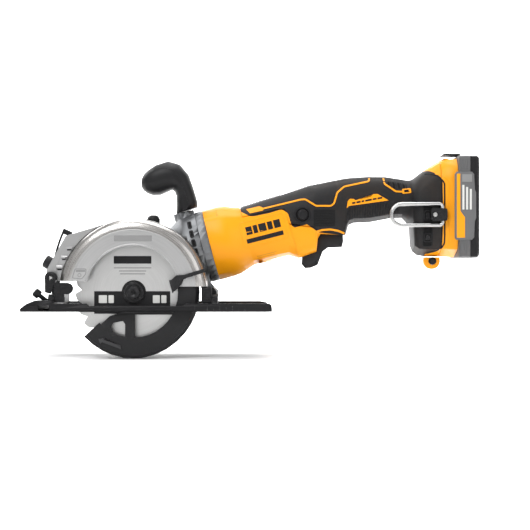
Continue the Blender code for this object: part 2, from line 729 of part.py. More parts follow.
def front_arm():
    low = 180.0 - math.degrees(math.asin((29.6 - ARBOR_Z) / (GUARD_R + GAP)))
    rim = circle(0.0, ARBOR_Z, GUARD_R + GAP + 0.05, 9, 114.3, low)
    outline = [(-65.3, 73.2), (-84.2, 39.6), (-83.3, 32.3), (-74.7, 29.1)]
    arm = prism("front_arm", SIDE, rim[:1] + outline + rim[:0:-1], -50.0, GUARD_FAR, SILVER)
    here = along_y(CLAMP_X, CLAMP_Z)
    cut(arm, turned("arm_clamp_hole", here, [(0, -60), (2.7, -60), (2.7, -20), (0, -20)], 12, None))
    cut(arm, turned("arm_knob_hole", knob_frame(), [(0, -12), (2.6, -12), (2.6, 3), (0, 3)], 12, None))
    turned("depth_bolt", here, [
        (0, -55.9), (2.3, -55.9), (2.3, -24.2), (4.8, -24.2), (4.8, -20.5), (0, -20.5),
    ], 12, STEEL)


def knob_frame():
    """Knurled knob's frame on the arm's front edge, axis pointing outwards."""
    edge = Vector((18.9, 0.0, 33.6)).normalized()
    normal = Vector((-edge.z, 0.0, edge.x))
    return Frame((-80.9, -37.0, 45.5), edge, (0, 1, 0), normal)


def clamps():
    here = along_y(CLAMP_X, CLAMP_Z)
    low_left = (CLAMP_X - 5.4, 18.5)
    low_right = (CLAMP_X - 0.6, 17.3)
    outline = [*circle(CLAMP_X, CLAMP_Z, 5.9, 12, -20.0, 200.0), low_left, low_right]
    lever = prism("depth_lever", SIDE, outline, -56.5, -50.4, BLACK, (CLAMP_X, 0, CLAMP_Z))
    cut(lever, turned("lever_hole", here, [(0, -60), (2.6, -60), (2.6, -45), (0, -45)], 12, None))
    knob = knob_frame()
    profile = [(0, -10), (2.3, -10), (2.3, 0.6), (6.0, 0.6), (6.4, 1.4), (6.4, 6.6), (5.4, 7.6), (0, 7.6)]
    turned("stop_knob", knob, profile, 14, BLACK, tuple(knob.origin))


def lower_guard():
    near = GUARD_NEAR + GUARD_WALL + GAP
    profile = [
        (43.5, near), (60.6, near), (LOWER_R, near + 2.4), (LOWER_R, -33.5), (19, -33.5), (19, -35.5),
        (LOWER_R - 2, -35.5), (LOWER_R - 2, near + 3.2), (60.0, near + 2.0), (43.5, near + 2.0),
    ]
    origin = (0, 0, ARBOR_Z)
    guard = sector(
        "lower_guard", ARBOR, profile, lambda r: -138.0, lambda r: 20.0, 16, DARK, origin,
    )
    web = [
        (-36.0, -27.0), (-39.5, -20.5), (-22.2, -4.3), (-10.0, -0.4), (41.5, -0.4), (43.6, -5.0),
        (37.6, -2.9), (2.1, -2.9), (2.1, -27.0), (-7.4, -27.0), (-7.4, -12.0), (-9.6, -9.0),
        (-18.7, -10.8), (-21.2, -14.6), (-19.0, -19.5), (-23.0, -25.0),
    ]
    join(guard, prism("guard_web", SIDE, web, near + 0.3, near + 1.7, None))
    join(guard, turned("guard_hub", ARBOR, ring_profile(14.8, 22.0, -35.2, -33.8), 28, None, loop=True))
    lever = [(35.2, 30.1), (39.6, 31.6), (42.8, 25.0), (38.6, 17.8)]
    lifter = prism("guard_lever", SIDE, lever, GUARD_NEAR - 3.6, near - GAP, DARK, origin)
    arm = [
        (37.0, 24.0), (36.2, 29.6), (42.0, 34.8), (50.0, 35.6), (69.5, 41.6), (69.9, 38.0), (49.5, 31.6),
        (46.8, 26.0), (40.5, 19.6),
    ]
    join(lifter, prism("lever_arm", SIDE, arm, GUARD_NEAR - 3.3, GUARD_NEAR - 0.4, None))
    turned("guard_retainer", ARBOR, ring_profile(7.0, 17.0, -37.6, -36.3), 24, STEEL, loop=True)
    coil = []
    for i in range(6):
        turn = math.radians(60.0 * i)
        coil.append((21.0 + 0.9 * math.cos(turn), -32.1 + 0.9 * math.sin(turn)))
    turned("guard_spring", ARBOR, coil, 22, STEEL, loop=True)


def blade_set():
    origin = (0, 0, ARBOR_Z)
    pitch = 360.0 / BLADE_TEETH
    outline = []
    for k in range(BLADE_TEETH):
        start = k * pitch + 1.5
        outline.append((BLADE_R, start))
        outline.append((BLADE_R - 1.6, start + 0.42 * pitch))
        outline.append((BLADE_R - 6.4, start + 0.74 * pitch))
    low = BLADE_Y - BLADE_T / 2
    high = BLADE_Y + BLADE_T / 2
    rings = [[ARBOR.polar(r, a, h) for r, a in outline] for h in (low, high)]
    rings += [[ARBOR.polar(SPINDLE_R + GAP, a, h) for _, a in outline] for h in (high, low)]
    solid("blade", rings, SILVER, origin, loop=True)
    disc = ring_profile(SPINDLE_R + GAP, 13.0, high + GAP, high + 4.4)
    turned("inner_flange", ARBOR, disc, 24, STEEL, origin, True)
    relief = SPINDLE_R + 0.2
    washer = [
        (3.2, low - 3.2), (9.8, low - 3.2), (10.8, low - 2.2), (10.8, low - GAP),
        (relief, low - GAP), (relief, low - 1.6), (3.2, low - 1.6),
    ]
    turned("outer_flange", ARBOR, washer, 24, DARK, origin, True)
    bolt = [
        (0, -31.0), (2.8, -31.0), (2.8, low - 3.5), (6.6, low - 3.5), (6.6, low - 7.0), (5.8, low - 7.8),
        (2.3, low - 7.8), (2.3, low - 4.6), (0, low - 4.6),
    ]
    turned("blade_bolt", ARBOR, bolt, 18, STEEL, origin)


# ---- front handle, lock and controls ----------------------------------------------------
def oval(left, right, half, count=18, power=2.3):
    """Section spanning two side-view points, bulging along Y."""
    mid = Vector(((left[0] + right[0]) / 2, 0.0, (left[1] + right[1]) / 2))
    span = Vector(((right[0] - left[0]) / 2, 0.0, (right[1] - left[1]) / 2))
    ring = []
    for i in range(count):
        turn = 2 * math.pi * i / count
        c = math.copysign(abs(math.cos(turn)) ** (2 / power), math.cos(turn))
        s = math.copysign(abs(math.sin(turn)) ** (2 / power), math.sin(turn))
        ring.append(mid + span * c + Vector((0.0, half * s, 0.0)))
    return ring


def front_handle(mast):
    rings = [
        oval(motor(-26.0, 39.2), motor(-3.6, 40.4), 12.5),
        oval((38.6, 107.0), (59.6, 107.5), 12.5),
        oval((38.4, 113.8), (57.7, 114.5), 12.8),
        oval((36.9, 118.0), (54.8, 124.0), 13.6),
        oval((34.2, 120.2), (50.8, 135.0), 15.2),
        oval((28.2, 117.4), (42.0, 145.6), 16.5),
        oval((22.5, 115.0), (30.3, 149.1), 17.0),
        oval((15.5, 114.4), (18.0, 145.3), 16.5),
        oval((9.5, 116.6), (10.6, 140.5), 14.6),
        oval((5.6, 119.4), (6.0, 136.0), 11.2),
        oval((3.6, 122.8), (3.8, 131.8), 6.4),
    ]
    handle = solid("front_handle", rings, BLACK, smooth=True)
    cut(handle, turned("handle_hole", mast, [(0, 36), (4.3, 36), (4.3, 52.4), (0, 52.4)], 14, None))


def spindle_lock():
    frame = along_z(16.0, -8.0)
    profile = [
        (0, 71.5), (3.0, 71.5), (3.0, 84.0), (6.5, 84.0), (6.5, 90.5), (5.2, 93.4), (2.4, 94.6), (0, 94.6),
    ]
    turned("spindle_lock", frame, profile, 16, BLACK, (16.0, -8.0, 84.0))


def trigger():
    outline = [
        (164.4, 53.0), (163.9, 46.0), (167.5, 41.6), (172.5, 42.0), (179.7, 44.9), (182.9, 53.2),
        (184.8, 58.3), (190.0, 62.2), (204.0, 62.9), (205.4, 68.6), (204.6, 82.0), (166.0, 82.0),
    ]
    prism("trigger", SIDE, outline, -TRIGGER_HALF, TRIGGER_HALF, DARK, (184.0, 0, 70.0))
    lock = [(0, -22.4), (4.6, -22.4), (5.4, -21.2), (5.4, 21.2), (4.6, 22.4), (0, 22.4)]
    turned("lock_off", along_y(164.3, 94.5), lock, 16, BLACK, (164.3, 0, 94.5))


# ---- shoe and its brackets --------------------------------------------------------------
def shoe():
    origin = (0, BEVEL_AXIS_Y, BEVEL_AXIS_Z)
    corner = 6.0
    plate = [
        (SHOE_FRONT + 2, SHOE_NEAR), (SHOE_REAR - corner, SHOE_NEAR), (SHOE_REAR, SHOE_NEAR + corner),
        (SHOE_REAR, SHOE_FAR - corner), (SHOE_REAR - corner, SHOE_FAR), (SHOE_FRONT + 2, SHOE_FAR),
        (SHOE_FRONT, SHOE_FAR - 4), (SHOE_FRONT, SHOE_NEAR + 4),
    ]
    base = prism("shoe", along_z(0, 0), plate, 0.0, SHOE_PLATE, BLACK, origin)
    near = [
        (-77.0, 1.2), (-77.0, SHOE_LIP), (-43.5, SHOE_LIP), (-41.0, 5.6), (49.0, 5.6), (51.5, SHOE_LIP),
        (131.4, SHOE_LIP), (133.6, 6.2), (133.6, 1.2),
    ]
    join(base, prism("shoe_near_lip", SIDE, near, SHOE_NEAR + 0.05, SHOE_NEAR + 3.6, None))
    far = [(-77.0, 1.1), (-77.0, 7.6), (122.0, 7.6), (129.0, 6.2), (131.0, 1.1)]
    join(base, prism("shoe_far_lip", SIDE, far, SHOE_FAR - 3.6, SHOE_FAR - 0.05, None))
    hump = [
        (-107.6, 1.0), (-106.0, 4.0), (-101.0, 7.7), (-93.5, 10.8), (-79.0, 10.8), (-75.6, 8.6), (-75.6, 1.0),
    ]
    join(base, prism("shoe_hump", SIDE, hump, SHOE_NEAR + 0.1, SHOE_FAR - 0.1, None))
    ear = [(-62.4, 2.0), (-51.6, 2.0), *circle(BEVEL_AXIS_Y, BEVEL_AXIS_Z, 5.4, 9, 0.0, 180.0)]
    join(base, prism("shoe_front_ear", along_x(0, 0), ear, -80.6, -75.2, None))
    join(base, prism("shoe_rear_ear", along_x(0, 0), ear, 76.4, 82.0, None))
    slot = rounded(0.0, -35.4, 72.0, 24.6, 3.0, 3)
    cut(base, prism("shoe_slot", along_z(0, 0), slot, -2.0, 9.2, None))
    cut(base, box("fence_way", (-90.0, -70.0, 1.2), (-79.5, 50.0, 6.4), None))
    here = along_x(BEVEL_AXIS_Y, BEVEL_AXIS_Z)
    front_pin = [(0, -79.0), (2.4, -79.0), (2.4, -65.6), (0, -65.6)]
    join(base, turned("bevel_pin_front", here, front_pin, 12, None))
    join(base, turned("bevel_pin_rear", here, [(0, 66.8), (2.4, 66.8), (2.4, 80.6), (0, 80.6)], 12, None))
    thumb = thumb_frame()
    cut(base, turned("thumb_way", thumb, [(0, -9), (2.6, -9), (2.6, 8), (0, 8)], 12, None))
    profile = [(0, -2.6), (2.2, -2.6), (2.2, 8.4), (4.3, 8.4), (4.3, 13.6), (3.4, 14.6), (0, 14.6)]
    turned("fence_screw", thumb, profile, 14, BLACK, tuple(thumb.origin))


def thumb_frame():
    """Fence screw: it leans forward over the fence's way."""
    axis = Vector((-9.0, 0.0, 7.0)).normalized()
    side = Vector((axis.z, 0.0, -axis.x))
    return Frame((-84.0, -50.0, 10.4), side, (0, 1, 0), axis)


def brackets():
    here = along_x(BEVEL_AXIS_Y, BEVEL_AXIS_Z)
    origin = (PIVOT_X, 0, PIVOT_Z)
    column = [(-74.8, 11.2), (-72.6, 9.0), (-65.2, 9.0), (-65.2, 21.0), (-67.2, 24.0), (-74.8, 24.0)]
    front = prism("front_bracket", SIDE, column, -60.6, -24.4, BLACK, origin)
    nose = [(-74.6, 16.5), (-62.0, 16.9), *circle(-62.0, 22.4, 5.5, 7, -70.0, 90.0), (-74.6, 28.2)]
    join(front, prism("bracket_nose", SIDE, nose, -62.4, -59.4, None))
    foot = [(-82.0, 13.6), (-70.0, 12.0), (-70.0, 22.0), (-82.0, 22.4)]
    join(front, prism("bracket_foot", SIDE, foot, -30.0, -24.7, None))
    top = CLAMP_ANGLE + DEPTH_RANGE + 3.2
    strip = [(STRIP_R - 5.0, -27.8), (STRIP_R + 4.6, -27.8), (STRIP_R + 4.6, -25.0), (STRIP_R - 5.0, -25.0)]
    join(front, sector("bracket_strip", PIVOT, strip, lambda r: 178.6, lambda r: 180.0 - top, 8, None))
    low = 180.0 - CLAMP_ANGLE + 1.3
    high = 180.0 - CLAMP_ANGLE - DEPTH_RANGE - 1.3
    way = [(STRIP_R - 2.7, -29.0), (STRIP_R + 2.7, -29.0), (STRIP_R + 2.7, -23.0), (STRIP_R - 2.7, -23.0)]
    cut(front, sector("strip_way", PIVOT, way, lambda r: low, lambda r: high, 8, None))
    cut(front, turned("front_pin_way", here, [(0, -78), (2.7, -78), (2.7, -60), (0, -60)], 12, None))
    block = [(66.2, 9.0), (77.0, 9.0), (80.6, 11.6), (80.6, 19.4), (77.2, 22.9), (66.2, 22.9)]
    rear = prism("rear_bracket", SIDE, block, -60.6, -3.0, BLACK, origin)
    cut(rear, box("rear_notch", (60.0, -20.4, 9.9), (90.0, -9.6, 30.0), None))
    cut(rear, box("rear_step", (76.1, -70.0, 0.0), (90.0, -51.0, 30.0), None))
    cut(rear, turned("rear_pin_way", here, [(0, 60), (2.7, 60), (2.7, 90), (0, 90)], 12, None))
    cut(rear, turned("rear_pivot_way", PIVOT, [(0, -31), (3.3, -31), (3.3, 0), (0, 0)], 14, None))
    turned("depth_pin", PIVOT, [(0, -30.6), (3.0, -30.6), (3.0, -3.2), (0, -3.2)], 14, STEEL)


# ---- foot, hook and battery -------------------------------------------------------------
HOOK_X = 301.0
HOOK_Y = -FOOT_HALF - 3.4
HOOK_TOP = 104.6
HOOK_LOW = 83.8
HOOK_LEFT = 250.8


def hook():
    """Bent wire: two legs joined by a half round, their ends turned into the plate."""
    mid = (HOOK_TOP + HOOK_LOW) / 2
    bend = (HOOK_TOP - HOOK_LOW) / 2
    path = [(HOOK_X, mid + 1.0), (HOOK_X, HOOK_TOP - 2.6), (HOOK_X - 0.8, HOOK_TOP - 0.8), (HOOK_X - 2.6, HOOK_TOP)]
    path += circle(HOOK_LEFT + bend, mid, bend, 11, 90.0, 270.0)
    path += [(HOOK_X - 2.6, HOOK_LOW), (HOOK_X - 0.8, HOOK_LOW + 0.8), (HOOK_X, HOOK_LOW + 2.6), (HOOK_X, mid - 1.0)]
    rings = []
    for i, point in enumerate(path):
        before = Vector(path[max(i - 1, 0)])
        after = Vector(path[min(i + 1, len(path) - 1)])
        run = (after - before).normalized()
        ring = []
        for k in range(8):
            turn = math.radians(45.0 * k)
            across = HOOK_WIRE_R * math.cos(turn)
            x = point[0] - run.y * across
            z = point[1] + run.x * across
            ring.append((x, HOOK_Y + HOOK_WIRE_R * math.sin(turn), z))
        rings.append(ring)
    solid("hook", rings, ZINC, (HOOK_X, HOOK_Y, mid), smooth=True)
    plate = rounded(HOOK_X - 3.5, mid, 8.0, 6.2, 2.0, 3)
    holder = prism("hook_plate", SIDE, plate, HOOK_Y - 2.9, -FOOT_HALF - GAP, BLACK)
    way = [(0, 80), (2.3, 80), (2.3, 110), (0, 110)]
    cut(holder, turned("hook_way", along_z(HOOK_X, HOOK_Y), way, 10, None))
    face = HOOK_Y - 2.9
    pin = along_y(HOOK_X - 7.5, mid)
    sink = [(0, face - 1), (2.5, face - 1), (2.5, face + 2), (0, face + 2)]
    cut(holder, turned("hook_sink", pin, sink, 10, None))
    turned("hook_screw", pin, [(0, face + 0.2), (2.2, face + 0.2), (2.2, face + 1.7), (0, face + 1.7)], 10, STEEL)


def eyelet():
    x, z = 293.8, 49.0
    tab = [(x - 8.0, 53.0 - GAP), *circle(x, z, 8.2, 13, 170.0, 370.0), (x + 8.0, 53.0 - GAP)]
    tag = prism("eyelet", SIDE, tab, -6.0, 4.0, YELLOW)
    cut(tag, turned("eyelet_hole", along_y(x + 0.6, z), [(0, -8), (4.1, -8), (4.1, 8), (0, 8)], 12, None))
    turned("eyelet_screw", along_y(x + 0.6, z), [(0, -6.6), (3.8, -6.6), (3.8, 4.6), (0, 4.6)], 12, BLACK)


def battery():
    """Grey case with its rail, black back, cells and release button."""
    mid_z = (BATTERY_TOP + BATTERY_BOTTOM) / 2
    tall = (BATTERY_TOP - BATTERY_BOTTOM) / 2
    wide = BATTERY_HALF
    split = BATTERY_FRONT + 0.55 * BATTERY_DEPTH
    back = BATTERY_FRONT + BATTERY_DEPTH
    frame = along_x(0, 0)
    origin = (BATTERY_FRONT, 0, mid_z)

    def ring(inset, x):
        outline = rounded(0, mid_z, wide - inset, tall - inset, 5.0 - min(inset, 3.5), 3)
        return [frame.at(a, b, x) for a, b in outline]

    rings = [
        ring(1.0, BATTERY_FRONT),
        ring(0, BATTERY_FRONT + 1),
        ring(0, split),
        ring(2.4, split),
        ring(2.4, BATTERY_FRONT + 2.2),
    ]
    case = solid("battery_case", rings, GREY, origin)
    rail = [
        (BATTERY_FRONT + 1.0, -14.0), (313.0, -14.0), (313.0, -18.0), (310.4, -18.0), (310.4, 18.0),
        (313.0, 18.0), (313.0, 14.0), (BATTERY_FRONT + 1.0, 14.0),
    ]
    join(case, prism("battery_rail", along_z(0, 0), rail, 70.0, 130.0, None))
    rings = [ring(0, split + GAP), ring(0, back - 2.0), ring(2.0, back), ring(2.0, back)][:3]
    rings = [ring(2.4, back - 2.4), ring(2.4, split + GAP), *rings]
    solid("battery_back", rings, BLACK, origin)
    room = BATTERY_FRONT + 2.6
    low = (room, -wide + 6.0, BATTERY_BOTTOM + 5.0)
    high = (back - 3.2, wide - 6.0, BATTERY_TOP - 5.0)
    box("battery_cells", low, high, ZINC, origin)
    button = [
        (302.9, 153.7), (306.0, 153.9), (321.0, 153.9), (321.6, 154.5), (320.6, 155.5), (314.6, 155.6),
        (306.4, 155.6), (304.4, 155.2),
    ]
    prism("battery_button", SIDE, button, -13.0, 13.0, BLACK, (309.0, 0, 153.0))


def main():
    for item in list(bpy.data.objects):
        bpy.data.objects.remove(item, do_unlink=True)
    housing()
    motor_parts()
    control()
    gear_train()
    mast = gear_case()
    gear_cover()
    upper_guard()
    front_arm()
    clamps()
    lower_guard()
    blade_set()
    front_handle(mast)
    spindle_lock()
    trigger()
    shoe()
    brackets()
    hook()
    eyelet()
    battery()


main()
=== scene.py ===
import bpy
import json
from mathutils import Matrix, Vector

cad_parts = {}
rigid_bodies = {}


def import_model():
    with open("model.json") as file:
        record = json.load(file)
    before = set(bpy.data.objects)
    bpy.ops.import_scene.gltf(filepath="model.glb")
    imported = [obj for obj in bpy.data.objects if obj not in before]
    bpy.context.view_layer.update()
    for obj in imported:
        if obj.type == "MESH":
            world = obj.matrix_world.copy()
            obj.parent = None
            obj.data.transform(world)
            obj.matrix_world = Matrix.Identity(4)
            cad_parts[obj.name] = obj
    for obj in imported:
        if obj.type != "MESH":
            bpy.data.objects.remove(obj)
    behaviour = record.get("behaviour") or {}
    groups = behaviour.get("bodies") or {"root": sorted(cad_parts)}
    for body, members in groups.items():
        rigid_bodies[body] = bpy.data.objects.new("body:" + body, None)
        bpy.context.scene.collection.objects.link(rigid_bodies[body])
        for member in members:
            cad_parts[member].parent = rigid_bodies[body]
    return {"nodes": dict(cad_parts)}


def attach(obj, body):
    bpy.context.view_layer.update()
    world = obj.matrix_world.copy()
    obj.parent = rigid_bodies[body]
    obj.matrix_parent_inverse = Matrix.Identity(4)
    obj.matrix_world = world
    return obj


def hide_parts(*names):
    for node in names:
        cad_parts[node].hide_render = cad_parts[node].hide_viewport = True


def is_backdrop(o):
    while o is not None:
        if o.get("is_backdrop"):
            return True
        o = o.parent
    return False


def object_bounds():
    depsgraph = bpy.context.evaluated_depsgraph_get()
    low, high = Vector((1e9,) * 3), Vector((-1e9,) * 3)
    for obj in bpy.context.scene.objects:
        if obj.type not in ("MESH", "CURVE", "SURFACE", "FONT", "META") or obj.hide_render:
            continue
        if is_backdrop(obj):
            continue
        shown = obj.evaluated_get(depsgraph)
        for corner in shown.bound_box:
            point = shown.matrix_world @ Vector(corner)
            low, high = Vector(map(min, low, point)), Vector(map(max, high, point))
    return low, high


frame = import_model()

"""Compact cordless circular saw: finishes, small mouldings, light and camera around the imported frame."""

import json
import logging
import math
from dataclasses import dataclass, field
from enum import Enum
from typing import Callable, Iterable, Sequence

import bmesh
import bpy
from mathutils import Matrix, Vector
from mathutils.bvhtree import BVHTree

LOG = logging.getLogger("saw")
MM = 0.001
NEAR = -1
FAR = 1

Point2 = tuple[float, float]
Point3 = tuple[float, float, float]
Colour = tuple[float, float, float]


# ---- shader groups ----------------------------------------------------------------------

class Graph:
    """A node tree with short calls for adding nodes and joining them."""

    def __init__(self, tree: bpy.types.NodeTree) -> None:
        """Keeps the tree that the calls work on."""
        self.tree = tree

    def add(self, kind: str, **settings: object) -> bpy.types.Node:
        """Adds a node and sets its properties.

        Args:
            kind: Blender's name of the node type, without its ShaderNode prefix.
            settings: properties of the node, such as operation.

        Returns:
            The new node.
        """
        node = self.tree.nodes.new("ShaderNode" + kind)
        for key, value in settings.items():
            setattr(node, key, value)
        return node

    def put(self, socket: bpy.types.NodeSocket, value: object) -> None:
        """Joins a socket to another, or sets its value."""
        if isinstance(value, bpy.types.NodeSocket):
            self.tree.links.new(value, socket)
        else:
            socket.default_value = value

    def maths(self, operation: str, first: object, second: object = 0.0,
              clamp: bool = False) -> bpy.types.NodeSocket:
        """One Math node.

        Args:
            operation: what it does, such as MULTIPLY.
            first: its first value or socket.
            second: its second value or socket.
            clamp: whether the result is held between 0 and 1.

        Returns:
            The node's output.
        """
        node = self.add("Math", operation=operation, use_clamp=clamp)
        self.put(node.inputs[0], first)
        self.put(node.inputs[1], second)
        return node.outputs[0]

    def span(self, value: object, low: float, high: float, out_low: float = 0.0,
             out_high: float = 1.0) -> bpy.types.NodeSocket:
        """A value mapped smoothly from one range to another.

        Args:
            value: the socket that is mapped.
            low: the start of its range.
            high: the end of its range.
            out_low: what low becomes.
            out_high: what high becomes.

        Returns:
            The mapped value.
        """
        node = self.add("MapRange", interpolation_type="SMOOTHSTEP")
        self.put(node.inputs["Value"], value)
        for name, number in (("From Min", low), ("From Max", high), ("To Min", out_low),
                             ("To Max", out_high)):
            node.inputs[name].default_value = number
        return node.outputs[0]

    def noise(self, place: bpy.types.NodeSocket, scale: object, detail: float = 3.0) -> bpy.types.NodeSocket:
        """A noise value around 0.5 at a place."""
        node = self.add("TexNoise", noise_dimensions="3D")
        self.put(node.inputs["Vector"], place)
        self.put(node.inputs["Scale"], scale)
        node.inputs["Detail"].default_value = detail
        return node.outputs[0]

    def mix(self, share: object, first: object, second: object) -> bpy.types.NodeSocket:
        """Two colours mixed by a share."""
        node = self.add("Mix", data_type="RGBA")
        self.put(node.inputs[0], share)
        self.put(node.inputs[6], first)
        self.put(node.inputs[7], second)
        return node.outputs[2]

    def use(self, group: bpy.types.NodeTree, **values: object) -> bpy.types.Node:
        """Places a group and sets its inputs, whose spaces are written as underscores."""
        node = self.add("Group")
        node.node_tree = group
        for key, value in values.items():
            self.put(node.inputs[key.replace("_", " ")], value)
        return node


class GroupMaker:
    """Builds each shared shader group once."""

    def __init__(self) -> None:
        """Starts with no group."""
        self.made: dict[str, bpy.types.NodeTree] = {}

    def group(self, name: str, inputs: Sequence[tuple[str, str, object]], outputs: Sequence[tuple[str, str]],
              fill: Callable[[Graph, bpy.types.Node, bpy.types.Node], None]) -> bpy.types.NodeTree:
        """A group with named sockets.

        Args:
            name: the group's name.
            inputs: name, socket type and default value of each input.
            outputs: name and socket type of each output.
            fill: makes the nodes between the group's input and output.

        Returns:
            The group.
        """
        if name in self.made:
            return self.made[name]
        tree = bpy.data.node_groups.new(name, "ShaderNodeTree")
        for label, kind, value in inputs:
            socket = tree.interface.new_socket(label, in_out="INPUT", socket_type="NodeSocket" + kind)
            if value is not None:
                socket.default_value = value
        for label, kind in outputs:
            tree.interface.new_socket(label, in_out="OUTPUT", socket_type="NodeSocket" + kind)
        graph = Graph(tree)
        start = tree.nodes.new("NodeGroupInput")
        end = tree.nodes.new("NodeGroupOutput")
        fill(graph, start, end)
        self.made[name] = tree
        return tree

    def grain(self) -> bpy.types.NodeTree:
        """Fine spark-eroded grain of a moulding, as a height, with a slower waviness under it."""
        def fill(graph: Graph, start: bpy.types.Node, end: bpy.types.Node) -> None:
            """Mixes two noises and a cell pattern."""
            place, scale = start.outputs["Place"], start.outputs["Scale"]
            fine = graph.noise(place, scale, 2.0)
            cells = graph.add("TexVoronoi", feature="SMOOTH_F1")
            graph.put(cells.inputs["Vector"], place)
            graph.put(cells.inputs["Scale"], graph.maths("MULTIPLY", scale, 1.7))
            slow = graph.noise(place, 60.0, 1.0)
            both = graph.maths("ADD", fine, graph.maths("MULTIPLY", cells.outputs[0], 0.6))
            graph.put(end.inputs["Height"], graph.maths("ADD", both, graph.maths("MULTIPLY", slow, 0.5)))
        return self.group("moulded_grain", [("Place", "Vector", None), ("Scale", "Float", 2500.0)],
                          [("Height", "Float")], fill)

    def wear(self) -> bpy.types.NodeTree:
        """Rubbed edges: where the surface is sharp, broken up by noise."""
        def fill(graph: Graph, start: bpy.types.Node, end: bpy.types.Node) -> None:
            """Compares the true normal with one rounded over the edge, and breaks up what differs."""
            eased = graph.add("Bevel", samples=4)
            eased.inputs["Radius"].default_value = 0.0006
            true = graph.add("NewGeometry").outputs["Normal"]
            meet = graph.add("VectorMath", operation="DOT_PRODUCT")
            graph.put(meet.inputs[0], eased.outputs[0])
            graph.put(meet.inputs[1], true)
            edge = graph.span(meet.outputs["Value"], 0.97, 0.86)
            rough = graph.span(graph.noise(start.outputs["Place"], 260.0, 4.0), 0.45, 0.6)
            both = graph.maths("MULTIPLY", edge, rough)
            graph.put(end.inputs["Mask"], graph.maths("MULTIPLY", both, start.outputs["Amount"], True))
        return self.group("edge_wear", [("Place", "Vector", None), ("Amount", "Float", 0.5)],
                          [("Mask", "Float")], fill)

    def handling(self) -> bpy.types.NodeTree:
        """Soft blotches left by hands and dust, as a mask."""
        def fill(graph: Graph, start: bpy.types.Node, end: bpy.types.Node) -> None:
            """Layers a broad and a close noise."""
            broad = graph.span(graph.noise(start.outputs["Place"], 28.0, 5.0), 0.4, 0.75)
            close = graph.span(graph.noise(start.outputs["Place"], 420.0, 3.0), 0.45, 0.75)
            both = graph.maths("ADD", graph.maths("MULTIPLY", broad, 0.7),
                               graph.maths("MULTIPLY", close, 0.3))
            graph.put(end.inputs["Mask"], graph.maths("MULTIPLY", both, start.outputs["Amount"], True))
        return self.group("handling", [("Place", "Vector", None), ("Amount", "Float", 0.5)],
                          [("Mask", "Float")], fill)

    def brushed(self) -> bpy.types.NodeTree:
        """Fine lines of a brushed or ground metal, in the direction that the place is stretched."""
        def fill(graph: Graph, start: bpy.types.Node, end: bpy.types.Node) -> None:
            """One noise, drawn out along one direction."""
            lines = graph.noise(start.outputs["Lines"], 1.0, 4.0)
            graph.put(end.inputs["Height"], lines)
            graph.put(end.inputs["Mask"], graph.span(lines, 0.3, 0.7))
        return self.group("brushed_lines", [("Lines", "Vector", None)],
                          [("Height", "Float"), ("Mask", "Float")], fill)

    def rings(self) -> bpy.types.NodeTree:
        """A place turned about the arbor: distance out, angle and depth, for lines that run round it."""
        def fill(graph: Graph, start: bpy.types.Node, end: bpy.types.Node) -> None:
            """Works out the distance and the angle from the arbor."""
            parts = graph.add("SeparateXYZ")
            graph.put(parts.inputs[0], start.outputs["Place"])
            across = parts.outputs["X"]
            up = graph.maths("SUBTRACT", parts.outputs["Z"], ARBOR_Z * MM)
            square = graph.maths("ADD", graph.maths("MULTIPLY", across, across),
                                 graph.maths("MULTIPLY", up, up))
            out = graph.maths("SQRT", square)
            angle = graph.maths("ARCTAN2", up, across)
            lines = graph.add("CombineXYZ")
            graph.put(lines.inputs[0], graph.maths("MULTIPLY", out, 2600.0))
            graph.put(lines.inputs[1], graph.maths("MULTIPLY", angle, 1.6))
            graph.put(lines.inputs[2], graph.maths("MULTIPLY", parts.outputs["Y"], 300.0))
            graph.put(end.inputs["Out"], out)
            graph.put(end.inputs["Lines"], lines.outputs[0])
        return self.group("about_the_arbor", [("Place", "Vector", None)],
                          [("Out", "Float"), ("Lines", "Vector")], fill)

    def seam(self) -> bpy.types.NodeTree:
        """Where the soft black covering lies on the yellow housing: 1 on black, 0 on yellow."""
        def fill(graph: Graph, start: bpy.types.Node, end: bpy.types.Node) -> None:
            """Compares the height with a lower and an upper edge."""
            parts = graph.add("SeparateXYZ")
            graph.put(parts.inputs[0], start.outputs["Place"])
            along = graph.maths("DIVIDE", parts.outputs["X"], SEAM_SPAN * MM)
            up = parts.outputs["Z"]
            low = graph.maths("MULTIPLY", self.curve(graph, along, SEAM_LOW), SEAM_HIGH * MM)
            high = graph.maths("MULTIPLY", self.curve(graph, along, SEAM_TOP), SEAM_HIGH * MM)
            above = graph.span(graph.maths("SUBTRACT", up, low), -0.0002, 0.0002)
            below = graph.span(graph.maths("SUBTRACT", high, up), -0.0002, 0.0002)
            graph.put(end.inputs["Mask"], graph.maths("MULTIPLY", above, below, True))
        return self.group("covering_seam", [("Place", "Vector", None)], [("Mask", "Float")], fill)

    @staticmethod
    def curve(graph: Graph, along: bpy.types.NodeSocket, points: Sequence[Point2]) -> bpy.types.NodeSocket:
        """A height that follows points along the saw.

        Args:
            graph: where the node goes.
            along: the place along the saw, as a share of SEAM_SPAN.
            points: place and height of each point, in millimetres.

        Returns:
            The height as a share of SEAM_HIGH.
        """
        node = graph.add("FloatCurve")
        graph.put(node.inputs["Value"], along)
        line = node.mapping.curves[0]
        while len(line.points) < len(points):
            line.points.new(0.5, 0.5)
        for spot, (x, z) in zip(line.points, points):
            spot.location = (x / SEAM_SPAN, z / SEAM_HIGH)
            spot.handle_type = "VECTOR"
        node.mapping.update()
        return node.outputs[0]


